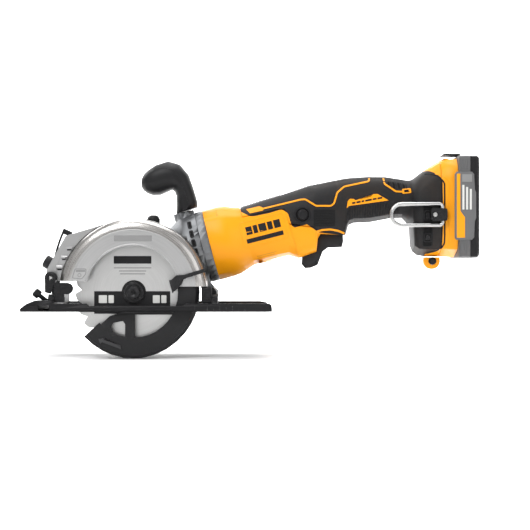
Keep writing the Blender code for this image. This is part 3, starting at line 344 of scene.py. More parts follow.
GROUPS = GroupMaker()
ARBOR_Z = 18.4
MOTOR_LEAN = 14.5
LOCK_OFF = (164.3, 94.5)
SEAM_SPAN = 340.0
SEAM_HIGH = 200.0
SEAM_LOW = [
    (0.0, 200.0), (101.4, 200.0), (102.2, 102.0), (103.4, 97.6), (112.2, 93.0), (116.1, 93.0), (131.1, 96.1),
    (143.6, 100.0), (149.8, 96.2), (153.5, 83.7), (156.7, 81.9), (168.7, 85.1), (180.0, 77.4), (205.8, 74.3),
    (212.0, 0.0), (283.0, 0.0), (286.0, 55.8), (291.0, 56.9), (297.5, 59.2), (301.0, 61.6), (302.6, 64.5),
    (303.0, 200.0), (340.0, 200.0),
]
SEAM_TOP = [
    (0.0, 200.0), (281.5, 200.0), (283.0, 138.8), (290.0, 137.6), (296.0, 134.6), (300.5, 130.4),
    (302.6, 126.8),
    (303.0, 0.0), (340.0, 0.0),
]


# ---- finishes ---------------------------------------------------------------------------

class Lines(Enum):
    """Which way the fine lines of a metal run."""

    NONE = "none"
    ALONG = "along"
    UPRIGHT = "upright"
    ROUND = "round"


@dataclass(frozen=True)
class Finish:
    """One surface finish: colours, gloss and the small relief that its maker leaves on it."""

    name: str
    colour: Colour
    roughness: float = 0.5
    metallic: float = 0.0
    grain: float = 2500.0
    grain_depth: float = 0.04
    wear: float = 0.0
    worn: Colour = (0.5, 0.5, 0.5)
    marks: float = 0.12
    marked: Colour = (0.10, 0.098, 0.094)
    lines: Lines = Lines.NONE
    line_depth: float = 0.03
    second: Colour | None = None
    rim: Colour | None = None
    rim_from: float = 0.0
    soften: float = 0.35

    def material(self) -> bpy.types.Material:
        """The finish as a material, made once."""
        known = bpy.data.materials.get(self.name)
        if known is not None:
            return known
        made = bpy.data.materials.new(self.name)
        made.use_nodes = True
        made.diffuse_color = (*self.colour, 1.0)
        tree = made.node_tree
        graph = Graph(tree)
        shader = next(n for n in tree.nodes if n.type == "BSDF_PRINCIPLED")
        place = graph.add("TexCoord").outputs["Object"]
        base: object = (*self.colour, 1.0)
        rough: object = graph.maths("ADD", self.roughness, 0.0)
        if self.second is not None:
            seam = graph.use(GROUPS.seam(), Place=place).outputs["Mask"]
            base = graph.mix(seam, base, (*self.second, 1.0))
            rough = graph.maths("ADD", rough, graph.maths("MULTIPLY", seam, 0.16))
        lines = self.line_place(graph, place)
        if self.rim is not None:
            out = graph.use(GROUPS.rings(), Place=place).outputs["Out"]
            shine = graph.span(out, (self.rim_from - 0.6) * MM, (self.rim_from + 0.6) * MM)
            base = graph.mix(shine, base, (*self.rim, 1.0))
            rough = graph.maths("SUBTRACT", rough, graph.maths("MULTIPLY", shine, 0.14))
        blotch = graph.use(GROUPS.handling(), Place=place, Amount=self.marks).outputs["Mask"]
        base = graph.mix(graph.maths("MULTIPLY", blotch, 0.16), base, (*self.marked, 1.0))
        rough = graph.maths("ADD", rough, graph.maths("MULTIPLY", blotch, 0.3), True)
        if self.wear > 0.0:
            rubbed = graph.use(GROUPS.wear(), Place=place, Amount=self.wear).outputs["Mask"]
            base = graph.mix(rubbed, base, (*self.worn, 1.0))
        height = graph.use(GROUPS.grain(), Place=place, Scale=self.grain).outputs["Height"]
        height = graph.maths("MULTIPLY", height, self.grain_depth)
        if lines is not None:
            brushed = graph.use(GROUPS.brushed(), Lines=lines)
            height = graph.maths("ADD", height,
                                 graph.maths("MULTIPLY", brushed.outputs["Height"], self.line_depth))
            rough = graph.maths("ADD", rough, graph.maths("MULTIPLY", brushed.outputs["Mask"], 0.08), True)
            base = graph.mix(graph.maths("MULTIPLY", brushed.outputs["Mask"], 0.12), base,
                             (0.9, 0.9, 0.9, 1.0))
        round_edge = graph.add("Bevel", samples=4)
        round_edge.inputs["Radius"].default_value = self.soften * MM
        bump = graph.add("Bump")
        bump.inputs["Distance"].default_value = 0.0004
        bump.inputs["Strength"].default_value = 1.0
        graph.put(bump.inputs["Height"], height)
        graph.put(bump.inputs["Normal"], round_edge.outputs[0])
        graph.put(shader.inputs["Base Color"], base)
        graph.put(shader.inputs["Roughness"], rough)
        graph.put(shader.inputs["Normal"], bump.outputs[0])
        shader.inputs["Metallic"].default_value = self.metallic
        shader.inputs["Specular IOR Level"].default_value = 0.22 if self.metallic < 0.5 else 0.5
        return made

    def line_place(self, graph: Graph, place: bpy.types.NodeSocket) -> bpy.types.NodeSocket | None:
        """The place drawn out so that noise read there makes the finish's lines."""
        if self.lines is Lines.NONE:
            return None
        if self.lines is Lines.ROUND:
            return graph.use(GROUPS.rings(), Place=place).outputs["Lines"]
        stretch = graph.add("Mapping")
        graph.put(stretch.inputs["Vector"], place)
        along = (40.0, 2600.0, 2600.0) if self.lines is Lines.ALONG else (2600.0, 2600.0, 40.0)
        stretch.inputs["Scale"].default_value = along
        return stretch.outputs[0]


BLACK_PLASTIC = Finish("black_moulding", (0.010, 0.010, 0.011), 0.42, wear=0.25, worn=(0.12, 0.12, 0.12))
YELLOW = (0.86, 0.325, 0.006)
SOFT_BLACK = (0.012, 0.012, 0.013)
HOUSING = Finish("housing_moulding", YELLOW, 0.34, second=SOFT_BLACK, marks=0.1, marked=(0.6, 0.25, 0.0))
YELLOW_TRIM = Finish("yellow_trim", YELLOW, 0.36, soften=0.2)
SOFT_GRIP = Finish("soft_grip", (0.010, 0.010, 0.011), 0.66, grain=1800.0, grain_depth=0.10, soften=0.3)
PAD = Finish("pad_inlay", (0.007, 0.007, 0.0075), 0.72, grain=1400.0, grain_depth=0.16)
# Painted shade: a near-black sheet laid where slots, vents, channels and recesses look dark only from the
# shade inside them, and as painted shadow lines under the arm's ribs.
PAINTED_SLOT_SHADE = Finish("slot_shadow", (0.003, 0.003, 0.0035), 0.8)
SATIN = Finish("satin_guard", (0.40, 0.40, 0.40), 0.36, 0.92, grain=900.0, grain_depth=0.02, wear=0.3,
               worn=(0.75, 0.75, 0.74), lines=Lines.ROUND, line_depth=0.004, rim=(0.40, 0.385, 0.37),
               rim_from=61.0)
SATIN_ARM = Finish("satin_arm", (0.38, 0.38, 0.38), 0.38, 0.92, grain=900.0, grain_depth=0.05, wear=0.3,
                   worn=(0.75, 0.75, 0.74), marks=0.2)
CAST = Finish("cast_case", (0.175, 0.18, 0.187), 0.46, 0.85, grain=700.0, grain_depth=0.16, wear=0.3,
              worn=(0.42, 0.42, 0.42), marks=0.2)
BLADE = Finish("ground_blade", (0.50, 0.50, 0.495), 0.3, 0.95, grain=1800.0, grain_depth=0.01,
               lines=Lines.ROUND,
               line_depth=0.035, marks=0.15, soften=0.15)
BLADE_PRINT = Finish("blade_print", (0.008, 0.008, 0.009), 0.5, grain_depth=0.02, marks=0.2, soften=0.1)
PALE_PRINT = Finish("pale_print", (0.62, 0.62, 0.60), 0.5, grain_depth=0.02, marks=0.2, soften=0.1)
GREY_PRINT = Finish("grey_print", (0.24, 0.24, 0.24), 0.5, 0.3, grain_depth=0.02, soften=0.1)
GUARD_PLASTIC = Finish("dark_moulding", (0.014, 0.014, 0.015), 0.5, grain=1900.0, grain_depth=0.05, wear=0.3,
                       worn=(0.16, 0.16, 0.16))
# Painted highlight: the arrow is moulded in the guard's own colour; this lighter grey stands in for the light
# its raised faces catch.
ARROW_HIGHLIGHT = Finish("raised_mark_highlight", (0.045, 0.045, 0.047), 0.4, grain_depth=0.03, soften=0.2)
STEEL = Finish("machined_steel", (0.5, 0.5, 0.49), 0.3, 1.0, lines=Lines.ALONG, line_depth=0.02)
BLACK_STEEL = Finish("blackened_steel", (0.016, 0.016, 0.017), 0.36, 0.6, grain=1500.0, grain_depth=0.03,
                     wear=0.5,
                     worn=(0.3, 0.3, 0.3))
SHOE_PAINT = Finish("shoe_paint", (0.010, 0.010, 0.011), 0.42, 0.2, grain=1100.0, grain_depth=0.09, wear=0.5,
                    worn=(0.22, 0.22, 0.22), marks=0.25)
ZINC = Finish("bright_wire", (0.5, 0.5, 0.5), 0.24, 1.0, grain_depth=0.01, lines=Lines.ALONG, line_depth=0.01)
GREY_CASE = Finish("battery_grey", (0.11, 0.11, 0.112), 0.5, marks=0.15)
LABEL = Finish("battery_label", (0.13, 0.13, 0.133), 0.42, grain_depth=0.02, soften=0.15)
COPPER = Finish("wound_copper", (0.55, 0.21, 0.09), 0.35, 1.0, lines=Lines.UPRIGHT)
BOARD = Finish("green_board", (0.02, 0.13, 0.06), 0.4)
# Painted shade: engraved lines are the housing's own yellow; this darker orange stands in for the shade
# inside them.
ENGRAVING_SHADE = Finish("engraved_mark_shade", (0.62, 0.28, 0.02), 0.6, grain_depth=0.02, soften=0.1)


# ---- mesh kit ---------------------------------------------------------------------------

class Skin:
    """The outside of some CAD nodes, to lay small mouldings on."""

    def __init__(self, *nodes: str) -> None:
        """Gathers the faces of the named nodes."""
        points: list[Vector] = []
        faces: list[list[int]] = []
        for name in nodes:
            mesh = frame["nodes"][name].data
            first = len(points)
            points += [v.co.copy() for v in mesh.vertices]
            faces += [[first + i for i in p.vertices] for p in mesh.polygons]
        self.tree = BVHTree.FromPolygons(points, faces)

    def side(self, x: float, z: float, side: int) -> float:
        """Where the skin is along Y.

        Args:
            x: place along the saw, in metres.
            z: height, in metres.
            side: NEAR or FAR.

        Returns:
            The Y of the outermost face there, or of the nearest one.
        """
        hit = self.tree.ray_cast(Vector((x, side * 0.3, z)), Vector((0, -side, 0)))
        if hit[0] is None:
            hit = self.tree.find_nearest(Vector((x, side * 0.03, z)))
        return hit[0].y

    def top(self, x: float, y: float) -> float:
        """The height of the highest face at a place, in metres."""
        hit = self.tree.ray_cast(Vector((x, y, 0.4)), Vector((0, 0, -1)))
        if hit[0] is None:
            hit = self.tree.find_nearest(Vector((x, y, 0.2)))
        return hit[0].z


@dataclass
class Maker:
    """Turns meshes into dressed pieces that ride on one body."""

    body: str
    slot: str

    def piece(self, name: str, mesh: bmesh.types.BMesh, finish: Finish,
              smooth: float = 35.0) -> bpy.types.Object:
        """A new piece.

        Args:
            name: its name.
            mesh: its shape, in metres in the saw's frame.
            finish: what it is finished with.
            smooth: edges sharper than this stay sharp, in degrees.

        Returns:
            The piece.
        """
        bmesh.ops.recalc_face_normals(mesh, faces=mesh.faces[:])
        data = bpy.data.meshes.new(name)
        mesh.to_mesh(data)
        mesh.free()
        data.shade_smooth()
        data.set_sharp_from_angle(angle=math.radians(smooth))
        data.materials.append(finish.material())
        made = bpy.data.objects.new(name, data)
        bpy.context.scene.collection.objects.link(made)
        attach(made, self.body)
        return made

    def carried(self, node: str, finish: Finish, smooth: float = 30.0) -> bpy.types.Object:
        """A smooth-shaded copy of a CAD node, dressed, that stands for it.

        Args:
            node: the CAD node's name.
            finish: what it is finished with.
            smooth: edges sharper than this stay sharp, in degrees.

        Returns:
            The piece.
        """
        source = frame["nodes"][node]
        mesh = bmesh.new()
        mesh.from_mesh(source.data)
        bmesh.ops.remove_doubles(mesh, verts=mesh.verts[:], dist=1e-6)
        made = self.piece(node + "_shell", mesh, finish, smooth)
        weigh = made.modifiers.new("even_shading", "WEIGHTED_NORMAL")
        weigh.keep_sharp = True
        weigh.weight = 80
        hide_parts(node)
        return made

    def applique(self, name: str, outline: Sequence[Point2], finish: Finish, skin: Skin, side: int = NEAR,
                 proud: float = 0.3, sunk: float = 0.3, step: float = 3.0) -> bpy.types.Object:
        """A thin plate of any outline, laid on the skin and following it.

        Args:
            name: its name.
            outline: its corners as X and Z, in millimetres.
            finish: what it is finished with.
            skin: what it lies on.
            side: NEAR or FAR.
            proud: how far it stands out.
            sunk: how far it reaches in.
            step: longest edge, which sets how closely it follows the skin.

        Returns:
            The piece.
        """
        mesh = bmesh.new()
        mesh.faces.new([mesh.verts.new((x * MM, 0.0, z * MM)) for x, z in outline])
        bmesh.ops.triangulate(mesh, faces=mesh.faces[:])
        for _ in range(7):
            long = [e for e in mesh.edges if e.calc_length() > step * MM]
            if not long:
                break
            bmesh.ops.subdivide_edges(mesh, edges=long, cuts=1)
            bmesh.ops.triangulate(mesh, faces=mesh.faces[:])
        on_skin = {v: skin.side(v.co.x, v.co.z, side) for v in mesh.verts}
        under = {v: mesh.verts.new((v.co.x, on_skin[v] - side * sunk * MM, v.co.z)) for v in list(mesh.verts)}
        rims = [e for e in mesh.edges if len(e.link_faces) == 1]
        for face in list(mesh.faces):
            mesh.faces.new([under[v] for v in reversed(face.verts)])
        for edge in rims:
            a, b = edge.verts
            mesh.faces.new([a, b, under[b], under[a]])
        for vert, y in on_skin.items():
            vert.co.y = y + side * proud * MM
        return self.piece(name, mesh, finish)

    def bead(self, name: str, path: Sequence[Point2], width: float, finish: Finish, skin: Skin,
             side: int = NEAR,
             proud: float = 0.35, sunk: float = 0.3, closed: bool = False,
             step: float = 2.0) -> bpy.types.Object:
        """A raised line that follows a path on the skin.

        Args:
            name: its name.
            path: its points as X and Z, in millimetres.
            width: its width.
            finish: what it is finished with.
            skin: what it lies on.
            side: NEAR or FAR.
            proud: how far its middle stands out.
            sunk: how far it reaches in.
            closed: whether it is a loop.
            step: distance between its cross-sections.

        Returns:
            The piece.
        """
        line = spaced(path, step, closed)
        rings = []
        count = len(line)
        for i, (x, z) in enumerate(line):
            before = line[i - 1] if i > 0 or closed else line[i]
            after = line[(i + 1) % count] if i < count - 1 or closed else line[i]
            run = Vector((after[0] - before[0], after[1] - before[1])).normalized()
            ring = []
            for share, lift in ((-1.0, -sunk), (-1.0, proud * 0.55), (-0.7, proud * 0.9), (0.0, proud),
                                (0.7, proud * 0.9), (1.0, proud * 0.55), (1.0, -sunk)):
                px = (x - run.y * share * width / 2) * MM
                pz = (z + run.x * share * width / 2) * MM
                ring.append(Vector((px, skin.side(px, pz, side) + side * lift * MM, pz)))
            rings.append(ring)
        mesh = bmesh.new()
        loft(mesh, rings, closed)
        return self.piece(name, mesh, finish, 50.0)

    def plate(self, name: str, outline: Sequence[Point2], side: int, low: float, high: float, soft: float,
              finish: Finish) -> bpy.types.Object:
        """A flat plate on one side, with its edges eased.

        Args:
            name: its name.
            outline: its corners as X and Z, in millimetres.
            side: NEAR or FAR.
            low: its inner face's distance from the middle plane.
            high: its outer face's distance.
            soft: how far its edges are eased.
            finish: what it is finished with.

        Returns:
            The piece.
        """
        mesh = bmesh.new()
        rows = [[mesh.verts.new((x * MM, side * reach * MM, z * MM)) for x, z in outline]
                for reach in (low, high)]
        mesh.faces.new(rows[0])
        outer = mesh.faces.new(rows[1][::-1])
        count = len(outline)
        for k in range(count):
            mesh.faces.new([rows[0][k], rows[0][(k + 1) % count], rows[1][(k + 1) % count], rows[1][k]])
        bmesh.ops.bevel(mesh, geom=list(outer.edges), offset=soft * MM, segments=2, profile=0.5,
                        affect="EDGES")
        return self.piece(name, mesh, finish)

    def turned(self, name: str, base: Matrix, profile: Sequence[Point2], finish: Finish, count: int = 32,
               wave: Callable[[int, float], float] | None = None) -> bpy.types.Object:
        """A turned piece about the Z of base, whose radius may change round each ring.

        Args:
            name: its name.
            base: where its axis stands.
            profile: radius and height of each ring, in millimetres, from one pole to the other.
            finish: what it is finished with.
            count: points round each ring.
            wave: gives a factor on the radius from the ring's number and the angle.

        Returns:
            The piece.
        """
        mesh = bmesh.new()
        rings = []
        for number, (radius, height) in enumerate(profile):
            ring = []
            for k in range(count):
                turn = 2 * math.pi * k / count
                reach = max(radius, 0.01) * (wave(number, turn) if wave else 1.0)
                ring.append(base @ Vector((reach * math.cos(turn) * MM, reach * math.sin(turn) * MM,
                                           height * MM)))
            rings.append(ring)
        loft(mesh, [list(r) for r in rings], False)
        return self.piece(name, mesh, finish)

    def block(self, name: str, low: Point3, high: Point3, soft: float, finish: Finish,
              turn: float = 0.0, about: Point2 = (0.0, 0.0)) -> bpy.types.Object:
        """A bevelled block, turned in the saw's side plane.

        Args:
            name: its name.
            low: its lowest corner, in millimetres.
            high: its highest corner.
            soft: its edges' radius.
            finish: what it is finished with.
            turn: how far it is turned, anticlockwise from the blade's side, in degrees.
            about: the point that it is turned about, as X and Z.

        Returns:
            The piece.
        """
        mesh = bmesh.new()
        bmesh.ops.create_cube(mesh, size=1.0)
        for vert in mesh.verts:
            for axis in range(3):
                middle = (low[axis] + high[axis]) / 2
                vert.co[axis] = (middle + vert.co[axis] * (high[axis] - low[axis])) * MM
        bmesh.ops.bevel(mesh, geom=mesh.edges[:], offset=soft * MM, segments=3, profile=0.5, affect="EDGES")
        pivot = Vector((about[0] * MM, 0.0, about[1] * MM))
        swing = Matrix.Rotation(math.radians(-turn), 4, "Y")
        bmesh.ops.transform(mesh, matrix=Matrix.Translation(pivot) @ swing @ Matrix.Translation(-pivot),
                            verts=mesh.verts[:])
        return self.piece(name, mesh, finish)


def loft(mesh: bmesh.types.BMesh, rings: Sequence[Sequence[Vector]], closed: bool) -> None:
    """Joins rings of points into a closed skin, with caps unless the last ring meets the first."""
    rows = [[mesh.verts.new(p) for p in ring] for ring in rings]
    size = len(rows[0])
    pairs = list(zip(rows, rows[1:])) + ([(rows[-1], rows[0])] if closed else [])
    for one, two in pairs:
        for k in range(size):
            mesh.faces.new([one[k], one[(k + 1) % size], two[(k + 1) % size], two[k]])
    if not closed:
        mesh.faces.new(rows[0][::-1])
        mesh.faces.new(rows[-1])


def spaced(path: Sequence[Point2], step: float, closed: bool = False) -> list[Point2]:
    """A path with its corners eased and points at even steps.

    Args:
        path: its corners, in millimetres.
        step: the distance between the new points.
        closed: whether it is a loop.

    Returns:
        The new points.
    """
    corners = [Vector(p) for p in path]
    if closed:
        corners = corners + [corners[0]]
    eased: list[Vector] = []
    for i, corner in enumerate(corners):
        ends = i in (0, len(corners) - 1)
        if ends and not closed:
            eased.append(corner)
            continue
        before = corners[i - 1] if i > 0 else corners[-2]
        after = corners[i + 1] if i < len(corners) - 1 else corners[1]
        if closed and i == len(corners) - 1:
            break
        reach = min(1.2, (before - corner).length * 0.4, (after - corner).length * 0.4)
        a = corner + (before - corner).normalized() * reach
        b = corner + (after - corner).normalized() * reach
        eased += [a, (a + b) * 0.25 + corner * 0.5, b]
    if closed:
        eased.append(eased[0])
    made: list[Point2] = []
    for a, b in zip(eased, eased[1:]):
        count = max(1, round((b - a).length / step))
        made += [tuple(a.lerp(b, k / count)) for k in range(count)]
    if not closed:
        made.append(tuple(eased[-1]))
    return made


def arc(cx: float, cz: float, radius: float, start: float, end: float, count: int) -> list[Point2]:
    """Points on an arc in the side plane, in millimetres and degrees."""
    turns = [math.radians(start + (end - start) * k / (count - 1)) for k in range(count)]
    return [(cx + radius * math.cos(t), cz + radius * math.sin(t)) for t in turns]


def rounded(x0: float, z0: float, x1: float, z1: float, radius: float, turn: float = 0.0) -> list[Point2]:
    """A rectangle with rounded corners in the side plane, turned about its middle."""
    corners = [(x1 - radius, z1 - radius, 0), (x0 + radius, z1 - radius, 90), (x0 + radius, z0 + radius, 180),
               (x1 - radius, z0 + radius, 270)]
    points = [p for cx, cz, a in corners for p in arc(cx, cz, radius, a, a + 90, 5)]
    mx, mz = (x0 + x1) / 2, (z0 + z1) / 2
    c, s = math.cos(math.radians(turn)), math.sin(math.radians(turn))
    return [(mx + (x - mx) * c - (z - mz) * s, mz + (x - mx) * s + (z - mz) * c) for x, z in points]


def leaned(points: Iterable[Point2], x: float, z: float, turn: float) -> list[Point2]:
    """Points given about an origin, turned and moved to a place in the side plane."""
    c, s = math.cos(math.radians(turn)), math.sin(math.radians(turn))
    return [(x + a * c - b * s, z + a * s + b * c) for a, b in points]


def facing(x: float, y: float, z: float, side: int) -> Matrix:
    """A frame whose Z points out of the saw's side, at a place in millimetres."""
    turn = Matrix.Rotation(math.radians(90 if side == NEAR else -90), 4, "X")
    return Matrix.Translation(Vector((x, y, z)) * MM) @ turn


class Recess(Enum):
    """The driver that a screw's head takes."""

    STAR = "star"
    HEX = "hex"

    def wave(self, turn: float) -> float:
        """The recess's reach at an angle, as a share of its radius."""
        if self is Recess.STAR:
            return 0.88 + 0.14 * math.cos(6 * turn)
        return math.cos(math.pi / 6) / math.cos((turn % (math.pi / 3)) - math.pi / 6)


@dataclass
class ScrewHead:
    """A screw's head with a real recess."""

    maker: Maker
    radius: float = 2.6
    high: float = 1.3
    recess: Recess = Recess.STAR
    finish: Finish = BLACK_STEEL

    def at(self, name: str, base: Matrix) -> bpy.types.Object:
        """Builds the head with its seat at the origin of base."""
        r, h = self.radius, self.high
        profile = [(0.0, -0.4), (r, -0.4), (r, h * 0.5), (r * 0.93, h * 0.8), (r * 0.78, h * 0.97),
                   (r * 0.62, h),
                   (r * 0.52, h), (r * 0.48, h * 0.9), (r * 0.46, h * 0.35), (0.0, h * 0.25)]

        def wave(number: int, turn: float) -> float:
            """Only the recess's own rings leave the circle."""
            return self.recess.wave(turn) if number in (6, 7, 8) else 1.0
        return self.maker.turned(name, base, profile, self.finish, 36, wave)


# ---- the saw's assemblies ---------------------------------------------------------------

@dataclass
class Housing:
    """Motor housing, grip and foot: two yellow halves under a soft black covering."""

    panel: tuple[float, float, float, float] = (103.5, 66.0, 148.5, 91.5)
    tilt: float = MOTOR_LEAN
    trim: Sequence[Point2] = ((126.0, 100.8), (162.5, 109.7), (167.1, 110.0), (177.6, 103.4), (192.6, 103.4),
                              (195.7, 106.1), (198.7, 116.6), (205.7, 122.7), (230.4, 128.1), (230.9, 131.4))
    rear_trim: Sequence[Point2] = ((245.0, 131.4), (245.7, 125.4), (256.7, 117.8), (263.6, 117.4))
    slanted: Sequence[Point2] = ((208.0, 100.9), (209.1, 108.0), (211.3, 110.4), (214.9, 110.4),
                                 (216.7, 109.1),
                                 (231.6, 112.4), (234.3, 115.0), (238.7, 115.3), (249.6, 108.8),
                                 (210.4, 103.4))
    front_tag: Sequence[Point2] = ((108.4, 100.2), (121.6, 103.2), (126.8, 100.9), (124.8, 98.6),
                                   (112.4, 95.9))
    rib_from: float = 209.0
    rib_to: float = 261.0
    rib_pitch: float = 2.5
    maker: Maker = field(default_factory=lambda: Maker("saw_body", "black_plastic"))
    yellow: Maker = field(default_factory=lambda: Maker("saw_body", "yellow_plastic"))

    def build(self) -> None:
        """Dresses the halves and lays on every moulding."""
        self.skin = Skin("housing_left", "housing_right", "grip_left", "grip_right")
        for node in ("housing_left", "housing_right", "grip_left", "grip_right"):
            self.yellow.carried(node, HOUSING, 32.0)
        self.trims()
        self.panels()
        self.ribs()
        self.dimples()
        self.foot()
        self.back_ridges()
        self.screws()

    def trims(self) -> None:
        """Yellow lines, tags and the lip above the trigger, on both sides."""
        for side, word in ((NEAR, "near"), (FAR, "far")):
            self.yellow.bead(f"trim_{word}", self.trim, 1.7, YELLOW_TRIM, self.skin, side)
            self.yellow.bead(f"rear_trim_{word}", self.rear_trim, 1.7, YELLOW_TRIM, self.skin, side)
            self.yellow.applique(f"slanted_tag_{word}", self.slanted, YELLOW_TRIM, self.skin, side, 0.45)
            self.yellow.applique(f"front_tag_{word}", self.front_tag, YELLOW_TRIM, self.skin, side, 0.45)
            tag = rounded(263.0, 115.6, 271.4, 120.6, 1.0, 6.0)
            self.yellow.applique(f"rear_tag_{word}", tag, YELLOW_TRIM, self.skin, side, 0.5)
            # Painted shade: a near-black patch for the shade in the tag's recess.
            tag_recess_shade = rounded(264.8, 116.9, 269.8, 119.4, 0.5, 6.0)
            self.maker.applique(f"rear_tag_recess_shade_{word}", tag_recess_shade, PAINTED_SLOT_SHADE, self.skin, side, 0.62)
            lip = ((178.4, 78.0), (184.0, 79.6), (192.0, 80.2), (200.0, 78.8), (207.6, 75.6))
            self.yellow.bead(f"trigger_lip_{word}", lip, 1.9, YELLOW_TRIM, self.skin, side, 0.5)
            bars = [(0.0, 3.4), (4.4, 8.6), (9.6, 12.0), (13.2, 19.8), (20.8, 24.6), (25.6, 30.4)]
            for i, (a, b) in enumerate(bars):
                spot = leaned([(a, -0.9), (b, -0.9), (b + 0.4, 0.9), (a + 0.4, 0.9)], 213.2, 106.0, 10.6)
                self.maker.applique(f"tag_bar_{word}_{i}", spot, BLADE_PRINT, self.skin, side, 0.55, 0.1)

    def panels(self) -> None:
        """The raised panel on the motor housing with its plain stripe, and a plain rating patch whose
        engraved lines and top mark are darkened as painted shade.
        """
        x0, z0, x1, z1 = self.panel
        for side, word in ((NEAR, "near"), (FAR, "far")):
            frame_line = rounded(x0, z0, x1, z1, 2.6, self.tilt)
            self.yellow.bead(f"panel_rim_{word}", frame_line, 0.9, YELLOW_TRIM, self.skin, side, 0.22,
                             closed=True)
            stripe = leaned([(-18.5, -2.3), (18.5, -2.3), (18.5, 2.0), (-18.5, 2.0)], 127.4, 72.6, self.tilt)
            self.maker.applique(f"panel_stripe_{word}", stripe, BLADE_PRINT, self.skin, side, 0.16)
            widths = (6.0, 4.2, 7.4, 5.0, 6.6)
            start = -17.0
            for i, wide in enumerate(widths):
                bar = leaned([(start, -4.0), (start + wide, -4.0), (start + wide, 4.0), (start, 4.0)],
                             125.0, 82.2, self.tilt)
                self.maker.applique(f"panel_block_{word}_{i}", bar, BLADE_PRINT, self.skin, side, 0.16)
                start += wide + 1.4
            # Painted shade: the rating lines and the top mark are darker orange for the shade inside their
            # engraving.
            for i in range(5):
                row = leaned([(-10.0, 0.0), (10.0 - 2.0 * (i % 2), 0.0)], 129.0 + 0.5 * i, 55.8 - 1.7 * i,
                             self.tilt)
                self.yellow.bead(f"rating_line_{word}_{i}", row, 0.7, ENGRAVING_SHADE, self.skin, side, 0.1)
            vein = leaned([(0.0, -4.0), (0.0, 4.0)], 79.0, 97.0, self.tilt)
            self.yellow.bead(f"top_mark_{word}", vein, 1.6, ENGRAVING_SHADE, self.skin, side, 0.1)

    def ribs(self) -> None:
        """Upright finger ribs on the lower part of the grip."""
        count = int((self.rib_to - self.rib_from) / self.rib_pitch) + 1
        for side, word in ((NEAR, "near"), (FAR, "far")):
            for i in range(count):
                x = self.rib_from + i * self.rib_pitch
                share = (x - self.rib_from) / (self.rib_to - self.rib_from)
                top = 101.0 + 7.2 * min(1.0, share * 1.5) if share < 0.66 else 108.2 - 26.0 * (share - 0.66)
                low = 89.3 + 4.6 * min(1.0, share * 1.4)
                self.maker.bead(f"grip_rib_{word}_{i:02d}", ((x, low), (x, top)), 1.45, SOFT_GRIP,
                                self.skin, side,
                                0.6, step=2.4)

    def dimples(self) -> None:
        """The ring round the lock-off button with painted shade in its well, and the fine pad behind it."""
        for side, word in ((NEAR, "near"), (FAR, "far")):
            ring = arc(*LOCK_OFF, 7.6, 0, 345, 24)
            self.maker.bead(f"lock_ring_{word}", ring, 1.8, SOFT_GRIP, self.skin, side, 0.7, closed=True)
            # Painted shade: a near-black disc for the shade in the well round the button.
            disc = arc(*LOCK_OFF, 6.6, 0, 345, 24)
            self.maker.applique(f"lock_well_shade_{word}", disc, PAINTED_SLOT_SHADE, self.skin, side, 0.1)
            pad = rounded(175.2, 83.0, 196.6, 99.6, 1.6)
            self.maker.applique(f"thumb_pad_{word}", pad, PAD, self.skin, side, 0.3)
            for i in range(6):
                row = ((177.2, 85.4 + 2.4 * i), (194.6, 85.4 + 2.4 * i))
                self.maker.bead(f"thumb_ridge_{word}_{i}", row, 0.8, PAD, self.skin, side, 0.55)

    def foot(self) -> None:
        """Painted shade in the channel and the vent slits, the windows, the vent bars and the plate round the
        foot's small screw.
        """
        for side, word in ((NEAR, "near"), (FAR, "far")):
            # Painted shade: a near-black patch for the shade in the recessed channel.
            channel = rounded(282.6, 63.4, 291.4, 106.0, 1.2)
            self.maker.applique(f"foot_channel_shade_{word}", channel, PAINTED_SLOT_SHADE, self.skin, side, 0.12)
            self.maker.bead(f"channel_rim_{word}", channel, 1.1, SOFT_GRIP, self.skin, side, 0.55,
                            closed=True)
            for i, (low, high) in enumerate(((89.0, 98.0), (68.0, 75.6))):
                window = rounded(283.8, low, 290.4, high, 0.8)
                self.maker.bead(f"foot_window_{word}_{i}", window, 1.2, SOFT_GRIP, self.skin, side, 0.8,
                                closed=True)
                inner = rounded(285.4, low + 1.6, 288.8, high - 1.6, 0.6)
                self.maker.applique(f"foot_lens_{word}_{i}", inner, BLACK_STEEL, self.skin, side, 0.4)
            for i in range(4):
                x = 249.6 + 4.9 * i
                # Painted shade: each near-black slit stands in for the shade inside a vent.
                slit = ((x, 127.6 - 0.5 * i), (x + 0.9, 121.2 - 0.4 * i))
                self.maker.bead(f"grip_vent_shade_{word}_{i}", slit, 2.1, PAINTED_SLOT_SHADE, self.skin, side, 0.18)
                self.maker.bead(f"vent_bar_{word}_{i}",
                                ((x + 2.4, 127.4 - 0.5 * i), (x + 3.2, 121.6 - 0.4 * i)), 1.2,
                                SOFT_GRIP, self.skin, side, 0.6)
            shoulder = [(284.6, 134.6), (290.0, 134.8), (296.6, 132.8), (301.2, 128.4), (303.4, 125.0),
                        (303.6, 66.0), (301.0, 61.4), (296.0, 58.6), (288.0, 56.6)]
            self.maker.bead(f"covering_edge_{word}", shoulder, 1.5, SOFT_GRIP, self.skin, side, 0.45)
            wing = [(x + 4.4, z) for x, z in shoulder[1:7]]
            self.yellow.bead(f"shoulder_line_{word}", wing, 1.2, YELLOW_TRIM, self.skin, side, 0.3)

